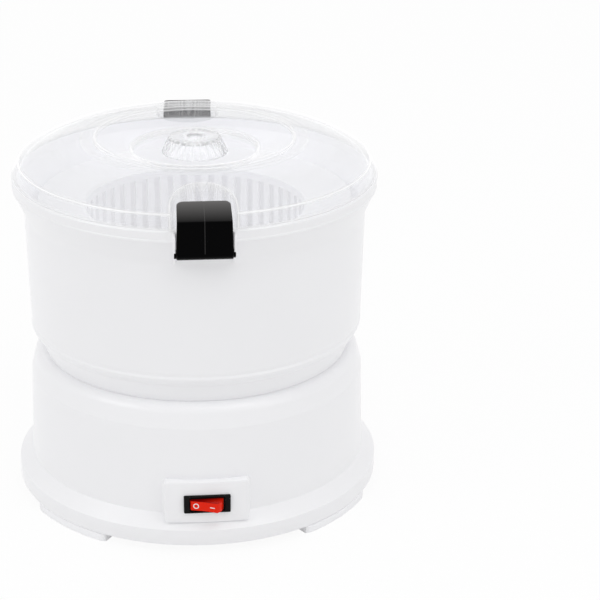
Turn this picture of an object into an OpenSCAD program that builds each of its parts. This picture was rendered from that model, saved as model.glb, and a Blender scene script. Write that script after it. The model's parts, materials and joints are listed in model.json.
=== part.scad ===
// Electric potato peeler: a bowl with a spinning basket on a belt-driven base.
// Millimetres. +Z is up, the switch is at the front (-Y), and the origin is
// the centre of the plane that the four feet stand on.

/* [Base] */
// Radius of the flange round the foot of the base, which all other radii follow
flange_r = 125; // [121:0.5:132]
// Height of the flange's upright edge
flange_h = 10.7; // [8:0.1:14]
// Height of the slope from the flange up to the drum
plinth_h = 7.8; // [5:0.1:11]
// Width of the slope from the flange in to the drum
plinth_w = 9.4; // [8:0.1:11]
// How much the drum narrows towards its top
drum_taper = 1.6; // [0:0.1:2]
// Height of the drum's wall
drum_h = 59.8; // [54:0.2:72]
// Height of the rounded shoulder
shoulder_h = 15; // [12:0.5:18]
// Distance of the rim in from the foot of the drum's wall
rim_in = 12.2; // [10.8:0.1:14]
// Depth of the well that the bowl stands in
well_depth = 7; // [5:0.5:9]
// Thickness of the base's moulded walls
base_wall = 2.6; // [2:0.1:3.2]

/* [Feet and bottom plate] */
// Height of the feet
foot_h = 6; // [4.5:0.1:8]
// Angle that one foot spans
foot_span = 31; // [20:1:50]
// Angle from the front or rear line to a foot's middle
foot_turn = 48; // [40:1:60]
// Width of a foot, in from the flange's edge
foot_w = 15; // [13:0.5:18]
// Thickness of the bottom plate
plate_t = 2.4; // [2:0.1:3]

/* [Switch] */
// Width of the raised pad
pad_w = 55; // [46:1:64]
// Height of the raised pad
pad_h = 28; // [22:1:32]
// Height of the pad's middle above the flange's underside
switch_up = 29; // [27:0.5:34]
// How far the pad's face stands out from the foot of the drum's wall
pad_out = 6; // [4.6:0.1:6.8]
// Width of the switch frame
frame_w = 30.4; // [28:0.1:34]
// Height of the switch frame
frame_h = 12.4; // [11:0.1:15]
// Length of the rocker
rocker_l = 21.6; // [18:0.1:24]
// Tilt of the rocker to either side
rocker_tilt = 12; // [8:0.5:13]

/* [Bowl] */
// How much narrower the bowl's wall is than the foot of the drum's wall
bowl_in = 2.9; // [1.6:0.1:4.4]
// How much the wall widens towards the top
bowl_taper = 1.7; // [0.5:0.1:2]
// Height of the leaning foot below the bowl's bead
haunch_h = 12.8; // [10:0.1:16]
// Height of the round bead at the foot of the wall
bead_h = 7; // [5:0.1:9]
// How far the bead stands out over the leaning foot
bead_out = 4.6; // [3.6:0.1:5.6]
// Height of the bowl's straight wall
bowl_wall_h = 75.5; // [68:0.5:90]
// Height of the flare below the rim
flare_h = 17.3; // [14:0.1:22]
// Height of the rim's band
band_h = 7.1; // [5:0.1:9]
// How far the rim stands out from the wall
flare_out = 7.8; // [6:0.1:9]
// Thickness of the bowl's wall
bowl_wall = 2.6; // [2:0.1:3]

/* [Lid] */
// Thickness of the clear lid
lid_t = 2.2; // [1.8:0.1:2.6]
// Height of the lid's leaning skirt
skirt_h = 8.2; // [7.4:0.1:9]
// How far the skirt leans in
skirt_lean = 4.2; // [3.4:0.1:5]
// Height of the dome from the skirt to the crown ring
crown_h = 15; // [12:0.1:18]
// Radius of the crown ring
crown_r = 66.6; // [62:0.1:70]
// Radius of the ring that ends the dish's slope
dish_r = 43.2; // [40:0.1:46]
// Drop from the crown ring to the dish's floor
dish_drop = 11.8; // [9:0.1:14]
// Radius of a clasp pocket's arch
pocket_r = 21; // [20:0.1:23]
// Distance of the arch's centre in from the clasp's face
pocket_in = 14.3; // [12.5:0.1:16]
// Height of a pocket's floor above the bowl's rim
pocket_up = 7.4; // [6:0.1:7.8]
// Radius of the knob at its foot
knob_r = 22.3; // [18:0.1:25]
// Radius of the knob at its top
knob_top_r = 17.3; // [14:0.1:20]
// Height of the knob
knob_h = 10.9; // [8:0.1:14]
// Number of flutes round the knob
flutes = 24; // [16:1:30]

/* [Clasps] */
// Width of a clasp at its top
clasp_w = 33.3; // [28:0.1:35]
// How much wider a clasp is at its foot
clasp_spread = 1.9; // [0:0.1:2.4]
// How far a clasp's upright face stands out from the bowl's rim
clasp_out = 4.1; // [3.8:0.1:5.2]
// Thickness of a clasp
clasp_t = 3; // [2.4:0.1:3.2]
// Height of the hinge axis below the bowl's rim
hinge_drop = 14.1; // [13:0.1:16]
// Radius of the knuckle round the hinge axis
knuckle_r = 3.8; // [3.5:0.1:4]
// Radius of the trunnions
trunnion_r = 2; // [1.6:0.1:2.4]
// Thickness of the ears that hold the trunnions
ear_t = 1.6; // [1.2:0.1:2]

/* [Basket] */
// Clearance round the basket's deck, inside the bowl's wall
deck_gap = 6.8; // [5:0.1:12]
// Width of the basket's deck
deck_w = 29; // [23:0.5:37]
// Height of the basket
basket_h = 74; // [66:0.5:80]
// Fall of the deck from its edge to the mouth
deck_fall = 5; // [2:0.5:7]
// Thickness of the basket's walls
basket_wall = 2; // [1.6:0.1:2.4]
// Number of slots round the wall
slots = 48; // [24:4:56]
// Width of a slot
slot_w = 4.6; // [3:0.1:5]

/* [Peeling disc] */
// Distance of the peeling disc's edge in from the outside of the bowl's wall
disc_in = 18.7; // [16:0.1:26]
// Thickness of the disc
disc_t = 3; // [2.4:0.1:4]
// Number of raised waves on the disc
waves = 3; // [2:1:4]
// Height of a wave above the disc
wave_h = 3.5; // [2:0.1:5]

/* [Drive] */
// Radius of the output shaft
shaft_r = 4; // [3.5:0.1:4.5]
// Distance of the motor from the axis
motor_y = 60; // [58:0.5:62]
// Outer radius of the motor's can
can_r = 30; // [27:0.5:32]
// Length of the motor's can
can_l = 50; // [44:0.5:52]
// Radius of the motor's shaft
spindle_r = 2.5; // [2:0.1:3]
// Radius at which the belt runs on the large pulley
big_pulley_r = 44; // [40:0.5:45]
// Radius at which the belt runs on the small pulley
small_pulley_r = 11; // [9:0.5:12]
// Width of the belt
belt_w = 8; // [6:0.5:9]
// Thickness of the belt
belt_t = 1.6; // [1.2:0.1:2]
// Size of the driving hexagon across its corners
dog_d = 18; // [16:0.5:19]

/* [Inlet] */
// Radius of the hole for the cord
cord_r = 3.5; // [3:0.1:4]
// Height of the inlet above the flange's underside
inlet_up = 32; // [28:0.5:40]

/* [Hidden] */
$fn = 96;

eps = 0.01;      // overshoot of a cut
fit = 0.05;      // radial clearance of a running fit
gap = 0.4;       // clearance between parts that only pass each other

// Base heights
plate_top = foot_h + plate_t;
flange_top = foot_h + flange_h;
drum_foot = flange_top + plinth_h;
drum_top = drum_foot + drum_h;
rim_z = drum_top + shoulder_h;
well_z = rim_z - well_depth;
ceiling_z = well_z - base_wall - 0.4;
drum_r = flange_r - plinth_w;
drum_top_r = drum_r - drum_taper;
rim_r = drum_r - rim_in;
rim_land = 1.8;
well_r = rim_r - rim_land;
shoulder_draft = 1.8;
shoulder_land = 3.1;
plate_r = flange_r - base_wall - 0.6;
screw_ring_r = flange_r - 25;
screw_turns = [0, 65, 115, 180, 245, 295];
screw_boss_r = 4.6;
pilot_r = 1.4;
peg_r = 2.4;
vent_w = 3.2;

// Bearing boss and neck, from the bottom up
pulley_z = plate_top + 4;
pulley_flange_t = 1.2;
pulley_top = pulley_z + belt_w + 2 * gap + 2 * pulley_flange_t;
hub_r = shaft_r + 5;
bush_r = shaft_r + 3.5;
bush_l = 2 * shaft_r;
washer_t = 1;
bush_lip_t = 1.5;
boss_r = bush_r + 5.5;
boss_z = pulley_top + 19.2;
hub_top = boss_z - bush_lip_t - washer_t;
neck_r = bush_r + 6;
neck_z = well_z + 18;
seal_r = bush_r + 3;
seal_h = 3;
dog_flange_r = 11.8;
dog_flange_z = neck_z + 0.8;
dog_z = dog_flange_z + 2.6;
dog_h = 14;
shaft_foot = pulley_z - 2;

// Switch
switch_z = foot_h + switch_up;
pad_y = drum_r + pad_out;
pad_corner = 3;
frame_t = 1.8;
frame_y = pad_y + frame_t;
body_w = frame_w - 3.6;
body_h = frame_h - 1.2;
body_depth = 19;
rocker_h = frame_h - 3;
pivot_depth = 3.4;
pivot_r = 1;

// Cord inlet
inlet_z = foot_h + inlet_up;
inlet_seat_y = drum_r + 1.2;
bush_barrel_r = cord_r + 2.4;
bush_head_r = cord_r + 4.6;
bush_head_t = 2.4;
inlet_boss_r = bush_head_r + 2;
inlet_boss_y = inlet_seat_y - 8.5;

// Wiring
block_x = 62;
block_y = 20;
block_l = 24;
block_w = 16;
block_h = 12;
block_ways = [-8, 0, 8];
wire_r = 1.1;
bend_r = 1.7;
bend_gap = 1.15;
wire_z = 5;
terminal_x = 8;

// Bowl heights and radii
bowl_r = drum_r - bowl_in;
bowl_foot_r = well_r - 0.6;
bowl_lift = 0.5;
haunch_z = rim_z + bowl_lift;
bead_crease = [bowl_r - bead_out, haunch_z + haunch_h];
bead_z = haunch_z + haunch_h + bead_h;
wall_z = bead_z + 3;
flare_z = wall_z + bowl_wall_h;
band_z = flare_z + flare_h;
bowl_top = band_z + band_h;
bowl_top_r = bowl_r + bowl_taper;
bowl_rim_r = bowl_top_r + flare_out;
floor_z = rim_z + 1;
floor_top = floor_z + 2.8;
tube_r = neck_r + 2;
tube_top = neck_z + 6.5;

// Lid
lid_inset = 0.8;
lid_rim_r = bowl_rim_r - lid_inset;
lid_seat_h = 0.8;
skirt_z = bowl_top + lid_seat_h;
skirt_top_r = lid_rim_r - skirt_lean;
skirt_top = skirt_z + skirt_h;
crown_z = skirt_top + crown_h;
dish_z = crown_z - dish_drop;
pocket_z = bowl_top + pocket_up;
spigot_r = 6;

// Clasps
clasp_face = bowl_rim_r + clasp_out;
pocket_y = clasp_face - pocket_in;
hinge_y = clasp_face - knuckle_r;
hinge_z = bowl_top - hinge_drop;
crease_z = bowl_top + 7.6;
clasp_tip = [clasp_face - 15.7, crease_z + 8.2];
clasp_inner_y = clasp_face - clasp_t;

// Peeling disc and basket, stacked on the dog
disc_r = bowl_r - disc_in;
disc_hub_r = tube_r - 1.6;
disc_hub_top = dog_z + dog_h + 3;
disc_z = floor_top + 5;
disc_top = disc_z + disc_t;
skirt_disc_r = tube_r + bowl_wall + 3;
post_d = 14;
post_h = 10;
deck_r = bowl_top_r - bowl_wall - deck_gap;
basket_r = deck_r - deck_w;
basket_z = disc_hub_top;
basket_floor_t = 2.5;
mouth_z = basket_z + basket_h - deck_fall;
deck_z = basket_z + basket_h;

// Motor
bracket_t = 2;
bracket_z = pulley_top + 3;
can_z = bracket_z + bracket_t;
can_top = can_z + can_l;
can_wall = 2;
cap_h = 5;
cap_flange_t = 2.5;
post_x = can_r + 10;
bracket_post_r = 5;
armature_r = can_r - 8.2;
armature_z = can_z + can_l / 5;
armature_l = can_l - 22;
winding_h = can_l / 10;
motor_bush_r = 1.8 * spindle_r;
motor_screw_x = can_r / 2.4;
bracket_hole_r = motor_bush_r + 2;
brush_w = can_r / 7.5;
commutator_r = spindle_r + 5.5;

shell = [0.95, 0.95, 0.95];
pale = [0.97, 0.97, 0.98];
clear = [0.85, 0.9, 0.93, 0.4];
jet = [0.05, 0.05, 0.06];
steel = [0.7, 0.71, 0.73];
copper = [0.72, 0.42, 0.22];
brass = [0.8, 0.65, 0.35];
bronze = [0.66, 0.5, 0.3];
rubber = [0.13, 0.13, 0.13];
signal_red = [0.88, 0.16, 0.1];

// ---- Shape helpers ---------------------------------------------------------

// Points along a circular arc from a to b, whose heading turns by turn degrees
// (to the left when positive)
function arc(a, b, turn, n = 8) =
    let (d = b - a, chord = norm(d), heading = atan2(d[1], d[0]), h = turn / 2)
    [for (i = [0:n]) let (t = i / n, w = heading - h + h * t)
        a + chord * sin(h * t) / sin(h) * [cos(w), sin(w)]];

// The same points from last to first
function reversed(pts) = [for (i = [len(pts) - 1:-1:0]) pts[i]];

// Every point moved by v
function moved(pts, v) = [for (p = pts) p + v];

module revolve(pts) { rotate_extrude() polygon(pts); }

module ring(r_out, r_in, z, h) {
    translate([0, 0, z]) difference() {
        cylinder(r = r_out, h = h);
        translate([0, 0, -eps]) cylinder(r = r_in, h = h + 2 * eps);
    }
}

// A rectangle with round corners, centred
module soft_rect(w, h, r) {
    square([w - 2 * r, h], center = true);
    square([w, h - 2 * r], center = true);
    for (x = [-1, 1], y = [-1, 1]) translate([x * (w / 2 - r), y * (h / 2 - r)]) circle(r);
}

// Extrudes a shape drawn in X and Z from y = -from back to y = -to
module from_front(from, to) {
    translate([0, -to, 0]) rotate([90, 0, 0]) linear_extrude(from - to) children();
}

// Extrudes a section drawn in distance from the axis and height, w wide
module side_section(w) {
    rotate([90, 0, -90]) linear_extrude(w, center = true) children();
}

// A pan-head screw, head up, its shank going down from z = 0
module screw(shank_r, length, head_r, head_h) {
    translate([0, 0, -length]) cylinder(r = shank_r, h = length + eps);
    difference() {
        cylinder(r = head_r, h = head_h);
        for (a = [0, 90]) rotate([0, 0, a])
            translate([-head_r * 0.55, -0.4, head_h * 0.4]) cube([head_r * 1.1, 0.8, head_h]);
    }
}

module at_plate_screws() {
    for (a = screw_turns) rotate([0, 0, a]) translate([screw_ring_r, 0, 0]) children();
}

module at_feet() {
    for (a = [foot_turn, 180 - foot_turn, 180 + foot_turn, -foot_turn])
        rotate([0, 0, a - 90]) children();
}

// ---- Base ------------------------------------------------------------------

function base_outline() = concat([
    [flange_r, foot_h], [flange_r, flange_top - 0.5], [flange_r - 0.5, flange_top],
    [drum_r, drum_foot], [drum_top_r, drum_top]], shoulder(), [[rim_r, rim_z], [well_r, rim_z],
    [well_r, well_z], [neck_r, well_z], [neck_r, neck_z - 0.8], [neck_r - 0.8, neck_z],
    [seal_r, neck_z], [seal_r, neck_z - seal_h], [bush_r, neck_z - seal_h],
    [bush_r, neck_z - seal_h - bush_l], [bush_r - 1.5, neck_z - seal_h - bush_l],
    [bush_r - 1.5, boss_z + bush_l], [bush_r, boss_z + bush_l], [bush_r, boss_z],
    [boss_r, boss_z], [boss_r, ceiling_z], [well_r + base_wall, ceiling_z],
    [well_r + base_wall, rim_z - base_wall], [rim_r + shoulder_land - 0.5, rim_z - base_wall],
    shoulder()[0] - [base_wall, 0.5], [drum_top_r - base_wall, drum_top - 1],
    [drum_r - base_wall, drum_foot - 1], [flange_r - base_wall, flange_top - base_wall],
    [flange_r - base_wall, foot_h]]);

// The shoulder's rounded edge: a quarter circle that ends in the land round the rim
function shoulder() =
    let (r = drum_top_r - shoulder_draft - rim_r - shoulder_land)
    arc([drum_top_r - shoulder_draft, rim_z - r], [rim_r + shoulder_land, rim_z], 84, 8);

module base_housing() {
    color(shell) difference() {
        union() {
            revolve(base_outline());
            // raised pad round the switch
            intersection() {
                translate([0, 0, switch_z]) from_front(pad_y, pad_y - 12)
                    soft_rect(pad_w, pad_h, pad_corner);
                translate([0, 0, foot_h]) difference() {
                    cylinder(r = flange_r + 10, h = drum_top);
                    translate([0, 0, -eps]) cylinder(r = drum_r - base_wall - 1, h = drum_top + 1);
                }
            }
            // flat seat for the cord's bush
            intersection() {
                translate([0, inlet_boss_y, inlet_z]) rotate([-90, 0, 0])
                    cylinder(r = inlet_boss_r, h = inlet_seat_y - inlet_boss_y);
                cylinder(r = flange_r, h = drum_top);
            }
            // screw bosses for the bottom plate
            at_plate_screws() translate([0, 0, plate_top])
                cylinder(r = screw_boss_r, h = ceiling_z - plate_top + 1);
            // posts for the motor's bracket
            for (x = [-post_x, post_x]) translate([x, motor_y, can_z])
                cylinder(r = bracket_post_r, h = ceiling_z - can_z + 1);
            // ribs under the well's floor
            for (a = [0:60:300]) rotate([0, 0, a + 30])
                translate([boss_r - 1, -1, ceiling_z - 4]) cube([well_r - boss_r, 2, 5]);
        }
        // room behind the pad, and the switch's cut-out
        translate([0, 0, switch_z]) {
            from_front(pad_y - base_wall, pad_y - 24)
                soft_rect(pad_w - 2 * base_wall, pad_h - 2 * base_wall, pad_corner / 2);
            from_front(pad_y + 1, pad_y - 10) square([body_w + 0.4, body_h + 0.4], center = true);
        }
        // hole for the cord's bush
        translate([0, inlet_boss_y - 1, inlet_z]) rotate([-90, 0, 0])
            cylinder(r = bush_barrel_r + fit, h = 20);
        // pilot holes
        at_plate_screws() translate([0, 0, plate_top - eps]) cylinder(r = pilot_r, h = 12);
        for (x = [-post_x, post_x]) translate([x, motor_y, can_z - eps])
            cylinder(r = pilot_r, h = 12);
    }
}

// Plate that closes the base, with two fans of vent slots
module bottom_plate() {
    vent_in = 0.4 * flange_r;
    vent_out = 0.64 * flange_r;
    color(shell) difference() {
        union() {
            translate([0, 0, foot_h]) cylinder(r = plate_r, h = plate_t);
            ring(plate_r - 1.2, plate_r - 3, plate_top - eps, 3);
            for (r = [30, 44]) ring(r, r - 1.6, plate_top - eps, 1.5);
        }
        for (side = [0, 180], a = [-40:8:40]) rotate([0, 0, side + a + 90])
            translate([vent_in, -vent_w / 2, foot_h - 1])
                cube([vent_out - vent_in, vent_w, plate_t + 2]);
        at_plate_screws() translate([0, 0, foot_h - 1]) {
            cylinder(r = 1.8, h = plate_t + 6);
            cylinder(r = 3.9, h = 2.4);
        }
        at_feet() foot_pegs(peg_r + fit, foot_h - 1, plate_t + 2);
    }
}

module foot_pegs(r, z, h) {
    for (a = [-foot_span / 4, foot_span / 4]) rotate([0, 0, a])
        translate([plate_r - 6, 0, z]) cylinder(r = r, h = h);
}

module feet() {
    inner = flange_r - foot_w;
    relief = 0.5;
    color([0.88, 0.88, 0.88]) at_feet() {
        rotate([0, 0, -foot_span / 2]) rotate_extrude(angle = foot_span) polygon([
            [inner, 1], [inner + 1, 0], [flange_r - 1, 0], [flange_r, 1],
            [flange_r, foot_h - relief], [plate_r - 1, foot_h - relief],
            [plate_r - 1, foot_h], [inner, foot_h]]);
        foot_pegs(peg_r, foot_h - 0.5, plate_t + 0.5);
    }
}

module base_screws() {
    color(steel) at_plate_screws() translate([0, 0, foot_h + 1.4]) rotate([180, 0, 0])
        screw(pilot_r, 11, 3.4, 1.2);
}

// ---- Switch ----------------------------------------------------------------

module switch_housing() {
    cavity_w = rocker_l + 0.9;
    cavity_h = rocker_h + 0.5;
    color(jet) translate([0, 0, switch_z]) difference() {
        union() {
            from_front(frame_y, pad_y) soft_rect(frame_w, frame_h, 0.8);
            from_front(pad_y, pad_y - body_depth) square([body_w, body_h], center = true);
        }
        from_front(frame_y + 1, frame_y - 13) square([cavity_w, cavity_h], center = true);
        translate([0, pivot_depth - frame_y, 0])
            cylinder(r = pivot_r + fit, h = body_h - 0.5, center = true);
    }
}

// The rocker's section in X and depth, on its pivot, with round ends
module rocker_section() {
    half = rocker_l / 2;
    intersection() {
        circle(half + 0.15);
        polygon([[-half - 1, -1], [-half - 1, pivot_depth + 0.7], [0, pivot_depth - 0.5],
            [half + 1, pivot_depth + 0.7], [half + 1, -1], [3.5, -5], [-3.5, -5]]);
    }
}

module switch_rocker() {
    color(signal_red) translate([0, pivot_depth - frame_y, switch_z])
        rotate([0, 0, 180 - rocker_tilt]) {
            linear_extrude(rocker_h, center = true) rocker_section();
            cylinder(r = pivot_r, h = body_h - 0.9, center = true);
        }
}

module switch_terminals() {
    color(brass) for (x = [-terminal_x, 0, terminal_x])
        translate([x - 2.4, body_depth - pad_y, switch_z - 0.4]) difference() {
            cube([4.8, 8, 0.8]);
            translate([2.4, 5, -1]) cylinder(r = 0.9, h = 3);
        }
}

// ---- Inlet and wiring ------------------------------------------------------

module cord_bush() {
    nut_t = 3;
    color(jet) translate([0, 0, inlet_z]) rotate([-90, 0, 0]) difference() {
        union() {
            translate([0, 0, inlet_seat_y]) cylinder(r = bush_head_r, h = bush_head_t);
            translate([0, 0, inlet_boss_y - nut_t])
                cylinder(r = bush_barrel_r, h = inlet_seat_y - inlet_boss_y + nut_t + eps);
            translate([0, 0, inlet_boss_y - nut_t]) cylinder(r = bush_head_r, h = nut_t);
        }
        translate([0, 0, inlet_boss_y - nut_t - 1]) cylinder(r = cord_r, h = 30);
    }
}

module terminal_block() {
    color([0.92, 0.92, 0.9]) translate([block_x, block_y, plate_top]) difference() {
        translate([-block_w / 2, -block_l / 2, 0]) cube([block_w, block_l, block_h]);
        for (y = block_ways) translate([0, y, 0]) {
            translate([0, 0, wire_z + 1]) cylinder(r = 1.8, h = block_h);
            translate([0, 0, wire_z]) rotate([0, 90, 0])
                cylinder(r = wire_r + 0.4, h = block_w + 2, center = true);
        }
    }
}

// A round rod from a to b
module rod(a, b, r) {
    d = b - a;
    translate(a) rotate([0, acos(d[2] / norm(d)), atan2(d[1], d[0])]) cylinder(r = r, h = norm(d));
}

// A wire through the points pts, cut square at its ends. Each bend is a ball wider than the wire,
// and the straights stop inside it, because surfaces that only touch are slow to build
module wire(pts) {
    last = len(pts) - 2;
    for (i = [0:last]) let (d = (pts[i + 1] - pts[i]) / norm(pts[i + 1] - pts[i]) * bend_gap)
        rod(pts[i] + (i > 0 ? d : 0 * d), pts[i + 1] - (i < last ? d : 0 * d), wire_r);
    for (i = [1:last]) translate(pts[i]) sphere(r = bend_r);
}

// A lead from its first points, round inside the wall from one angle to another, to its last points
module lead(first, last, from, to, run_r, z) {
    function on_run(a) = [run_r * cos(a), run_r * sin(a), z];
    gap = bend_gap / run_r * 180 / PI;
    wire(concat(first, [on_run(from)]));
    wire(concat([on_run(to)], last));
    for (a = [from, to]) translate(on_run(a)) sphere(r = bend_r);
    translate([0, 0, z]) rotate([0, 0, to + gap]) rotate_extrude(angle = from - to - 2 * gap)
        translate([run_r, 0]) circle(r = wire_r);
}

// Leads from the terminal block to the switch, round inside the wall, and to the motor
module inner_leads() {
    run_r = screw_ring_r + screw_boss_r + 2.6;
    tab = [terminal_x, -pad_y + body_depth + 4, switch_z - 0.4];
    wire_top = plate_top + wire_z;
    cap_z = can_top + cap_flange_t;
    for (i = [0:1]) {
        z = wire_top + 4 * i;
        y = block_y + block_ways[2 - i];
        x = tab[0] * (1 - i);
        color(signal_red) lead(
            [[block_x + 2, y, wire_top], [block_x + 14 - 3 * i, y, wire_top]],
            [[x + 4 * (1 - i), tab[1] + 3, z + 4 * i], [x, tab[1], tab[2] - 8], [x, tab[1], tab[2]]],
            asin(y / run_r), -80 - 4 * i, run_r, z);
    }
    color(signal_red) wire([
        [block_x - 2, block_y, wire_top], [block_x - 13, block_y, wire_top],
        [block_x - 14, block_y + 2, cap_z + 1], [can_r - 6, motor_y - 8, cap_z + 2.4],
        [can_r - 16, motor_y - 2, cap_z + 2.4], [can_r - 16, motor_y - 2, cap_z]]);
}

// ---- Motor -----------------------------------------------------------------

module at_motor() { translate([0, motor_y, 0]) children(); }

module motor_bracket() {
    color(steel) at_motor() translate([0, 0, bracket_z]) difference() {
        linear_extrude(bracket_t) {
            soft_rect(2 * post_x + 14, 16, 7.9);
            circle(can_r - 6);
        }
        translate([0, 0, -1]) cylinder(r = bracket_hole_r + fit, h = bracket_t + 2);
        for (x = [-1, 1]) {
            translate([x * post_x, 0, -1]) cylinder(r = 1.8, h = bracket_t + 2);
            translate([x * motor_screw_x, 0, -1]) cylinder(r = 1.7, h = bracket_t + 2);
        }
    }
}

module bracket_screws() {
    color(steel) at_motor() for (x = [-post_x, post_x]) translate([x, 0, bracket_z])
        rotate([180, 0, 0]) screw(pilot_r, 12, 3.2, 2);
}

module motor_screws() {
    color(steel) at_motor() for (x = [-motor_screw_x, motor_screw_x])
        translate([x, 0, bracket_z]) rotate([180, 0, 0]) screw(1.5, bracket_t + can_wall, 2.8, 1.8);
}

module motor_can() {
    color(steel) at_motor() difference() {
        union() {
            translate([0, 0, can_z]) cylinder(r = can_r, h = can_l);
            translate([0, 0, bracket_z]) cylinder(r = bracket_hole_r, h = bracket_t + 1);
        }
        translate([0, 0, can_z + can_wall]) cylinder(r = can_r - can_wall, h = can_l);
        translate([0, 0, bracket_z - 1]) cylinder(r = motor_bush_r, h = 12);
        for (x = [-1, 1]) translate([x * motor_screw_x, 0, can_z - 1]) cylinder(r = 1.5, h = 6);
    }
}

module motor_end_cap() {
    color([0.15, 0.15, 0.16]) at_motor() translate([0, 0, can_top]) difference() {
        union() {
            cylinder(r = can_r, h = cap_flange_t);
            cylinder(r = motor_bush_r + 3.5, h = cap_h);
            translate([0, 0, -3]) cylinder(r = can_r - can_wall, h = 3 + eps);
        }
        translate([0, 0, -3 - eps]) cylinder(r = can_r - can_wall - 2, h = 3);
        translate([0, 0, -eps]) cylinder(r = motor_bush_r, h = cap_h - 1);
        for (a = [45:90:315]) rotate([0, 0, a]) translate([can_r * 0.6, 0, -eps])
            cylinder(r = brush_w - 0.5, h = 4);
    }
}

module field_magnets() {
    span = 130;
    color([0.25, 0.25, 0.27]) at_motor() for (a = [0, 180])
        rotate([0, 0, a - span / 2]) translate([0, 0, armature_z - 2]) rotate_extrude(angle = span)
            translate([armature_r + 0.6, 0])
                square([can_r - can_wall - armature_r - 0.6 - fit, armature_l + 4]);
}

module motor_bushes() {
    color(bronze) at_motor() {
        ring(motor_bush_r, spindle_r + fit, bracket_z, bracket_t + brush_w);
        ring(motor_bush_r, spindle_r + fit, can_top, cap_h - 1 - eps);
    }
}

module brushes() {
    inner = commutator_r + 0.4;
    color([0.2, 0.2, 0.2]) at_motor() for (a = [90, 270]) rotate([0, 0, a])
        translate([inner, -brush_w / 2, can_top - 2.2 - brush_w])
            cube([can_r - can_wall - 0.6 - inner, brush_w, brush_w * 0.75]);
}

module motor_shaft() {
    color(steel) at_motor() translate([0, 0, shaft_foot]) cylinder(
        r = spindle_r, h = can_top + cap_h - 1.6 - shaft_foot);
}

module armature_core() {
    poles = 12;
    color(steel) at_motor() translate([0, 0, armature_z]) difference() {
        cylinder(r = armature_r, h = armature_l);
        translate([0, 0, -1]) cylinder(r = spindle_r, h = armature_l + 2);
        for (i = [0:poles - 1]) rotate([0, 0, i * 360 / poles])
            translate([armature_r - 6, -1.2, -1]) cube([7, 2.4, armature_l + 2]);
    }
}

module armature_windings() {
    color(copper) at_motor() for (z = [armature_z - winding_h, armature_z + armature_l])
        ring(armature_r - 4, spindle_r + 1.5, z, winding_h);
}

module commutator() {
    foot = armature_z + armature_l + winding_h;
    color(copper) at_motor() ring(commutator_r, spindle_r, foot, can_top - 1.4 - foot);
}

// ---- Drive -----------------------------------------------------------------

// A flanged pulley on which the belt runs at radius r
module pulley(r, bore) {
    top = pulley_top - pulley_z;
    lip = belt_t + 0.8;
    rotate_extrude() polygon([
        [bore, 0], [r + lip, 0], [r + lip, pulley_flange_t - 0.3], [r, pulley_flange_t],
        [r, top - pulley_flange_t], [r + lip, top - pulley_flange_t + 0.3], [r + lip, top],
        [bore, top]]);
}

module motor_pulley() {
    color([0.9, 0.9, 0.88]) at_motor() translate([0, 0, pulley_z]) pulley(small_pulley_r, spindle_r);
}

module drive_pulley() {
    rim_t = 4;
    spokes = 6;
    color([0.9, 0.9, 0.88]) translate([0, 0, pulley_z]) {
        difference() {
            pulley(big_pulley_r, shaft_r);
            for (z = [-1, (pulley_top - pulley_z) / 2 + 1.2]) translate([0, 0, z])
                ring(big_pulley_r - rim_t, hub_r, 0, (pulley_top - pulley_z) / 2 - 0.2);
            for (i = [0:spokes - 1]) rotate([0, 0, i * 360 / spokes])
                translate([(big_pulley_r - rim_t + hub_r) / 2, 0, -1]) cylinder(r = 9, h = 20);
        }
        ring(hub_r, shaft_r, 0, hub_top - pulley_z);
    }
}

// The belt's line round both pulleys, t outside their rims, as short straight steps
function belt_line(t, steps = 40) =
    let (lean = asin((big_pulley_r - small_pulley_r) / motor_y))
    concat(
        [for (i = [0:steps]) let (a = 180 - lean + (180 + 2 * lean) * i / steps)
            (big_pulley_r + t) * [cos(a), sin(a)]],
        [for (i = [0:steps]) let (a = lean + (180 - 2 * lean) * i / steps)
            [0, motor_y] + (small_pulley_r + t) * [cos(a), sin(a)]]);

module drive_belt() {
    slack = 0.3;
    color(rubber) translate([0, 0, pulley_z + pulley_flange_t + gap]) linear_extrude(belt_w)
        difference() {
            polygon(belt_line(slack + belt_t));
            polygon(belt_line(slack));
        }
}

module output_shaft() {
    groove = shaft_r - 0.6;
    tip = dog_z + dog_h - 3;
    color(steel) revolve([
        [0, shaft_foot], [shaft_r - 0.4, shaft_foot], [shaft_r, shaft_foot + 0.4],
        [shaft_r, pulley_z - 1], [groove, pulley_z - 1], [groove, pulley_z],
        [shaft_r, pulley_z], [shaft_r, tip - 0.5], [shaft_r - 0.5, tip], [0, tip]]);
}

module shaft_bushes() {
    color(bronze) {
        ring(bush_r, shaft_r + fit, boss_z, bush_l);
        ring(hub_r + 0.5, shaft_r + fit, boss_z - bush_lip_t, bush_lip_t);
        ring(bush_r, shaft_r + fit, neck_z - seal_h - bush_l, bush_l);
    }
}

module thrust_washer() {
    color(steel) ring(hub_r - 0.5, shaft_r + fit, hub_top, washer_t);
}

module retaining_clip() {
    color(steel) difference() {
        ring(shaft_r + 2.6, shaft_r - 0.6, pulley_z - 0.95, 0.9);
        translate([0, -2, pulley_z - 2]) cube([20, 4, 3]);
    }
}

// Lip seal in the top of the neck
module shaft_seal() {
    foot = neck_z - seal_h;
    color(rubber) revolve([
        [shaft_r + 0.3, foot + 1.6], [shaft_r + 1.4, foot + 0.9], [seal_r - 2, foot],
        [seal_r, foot], [seal_r, neck_z], [seal_r - 2, neck_z], [seal_r - 2.6, foot + 1.6],
        [shaft_r + 1.6, foot + 2.2], [shaft_r + 0.3, foot + 2.2]]);
}

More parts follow.
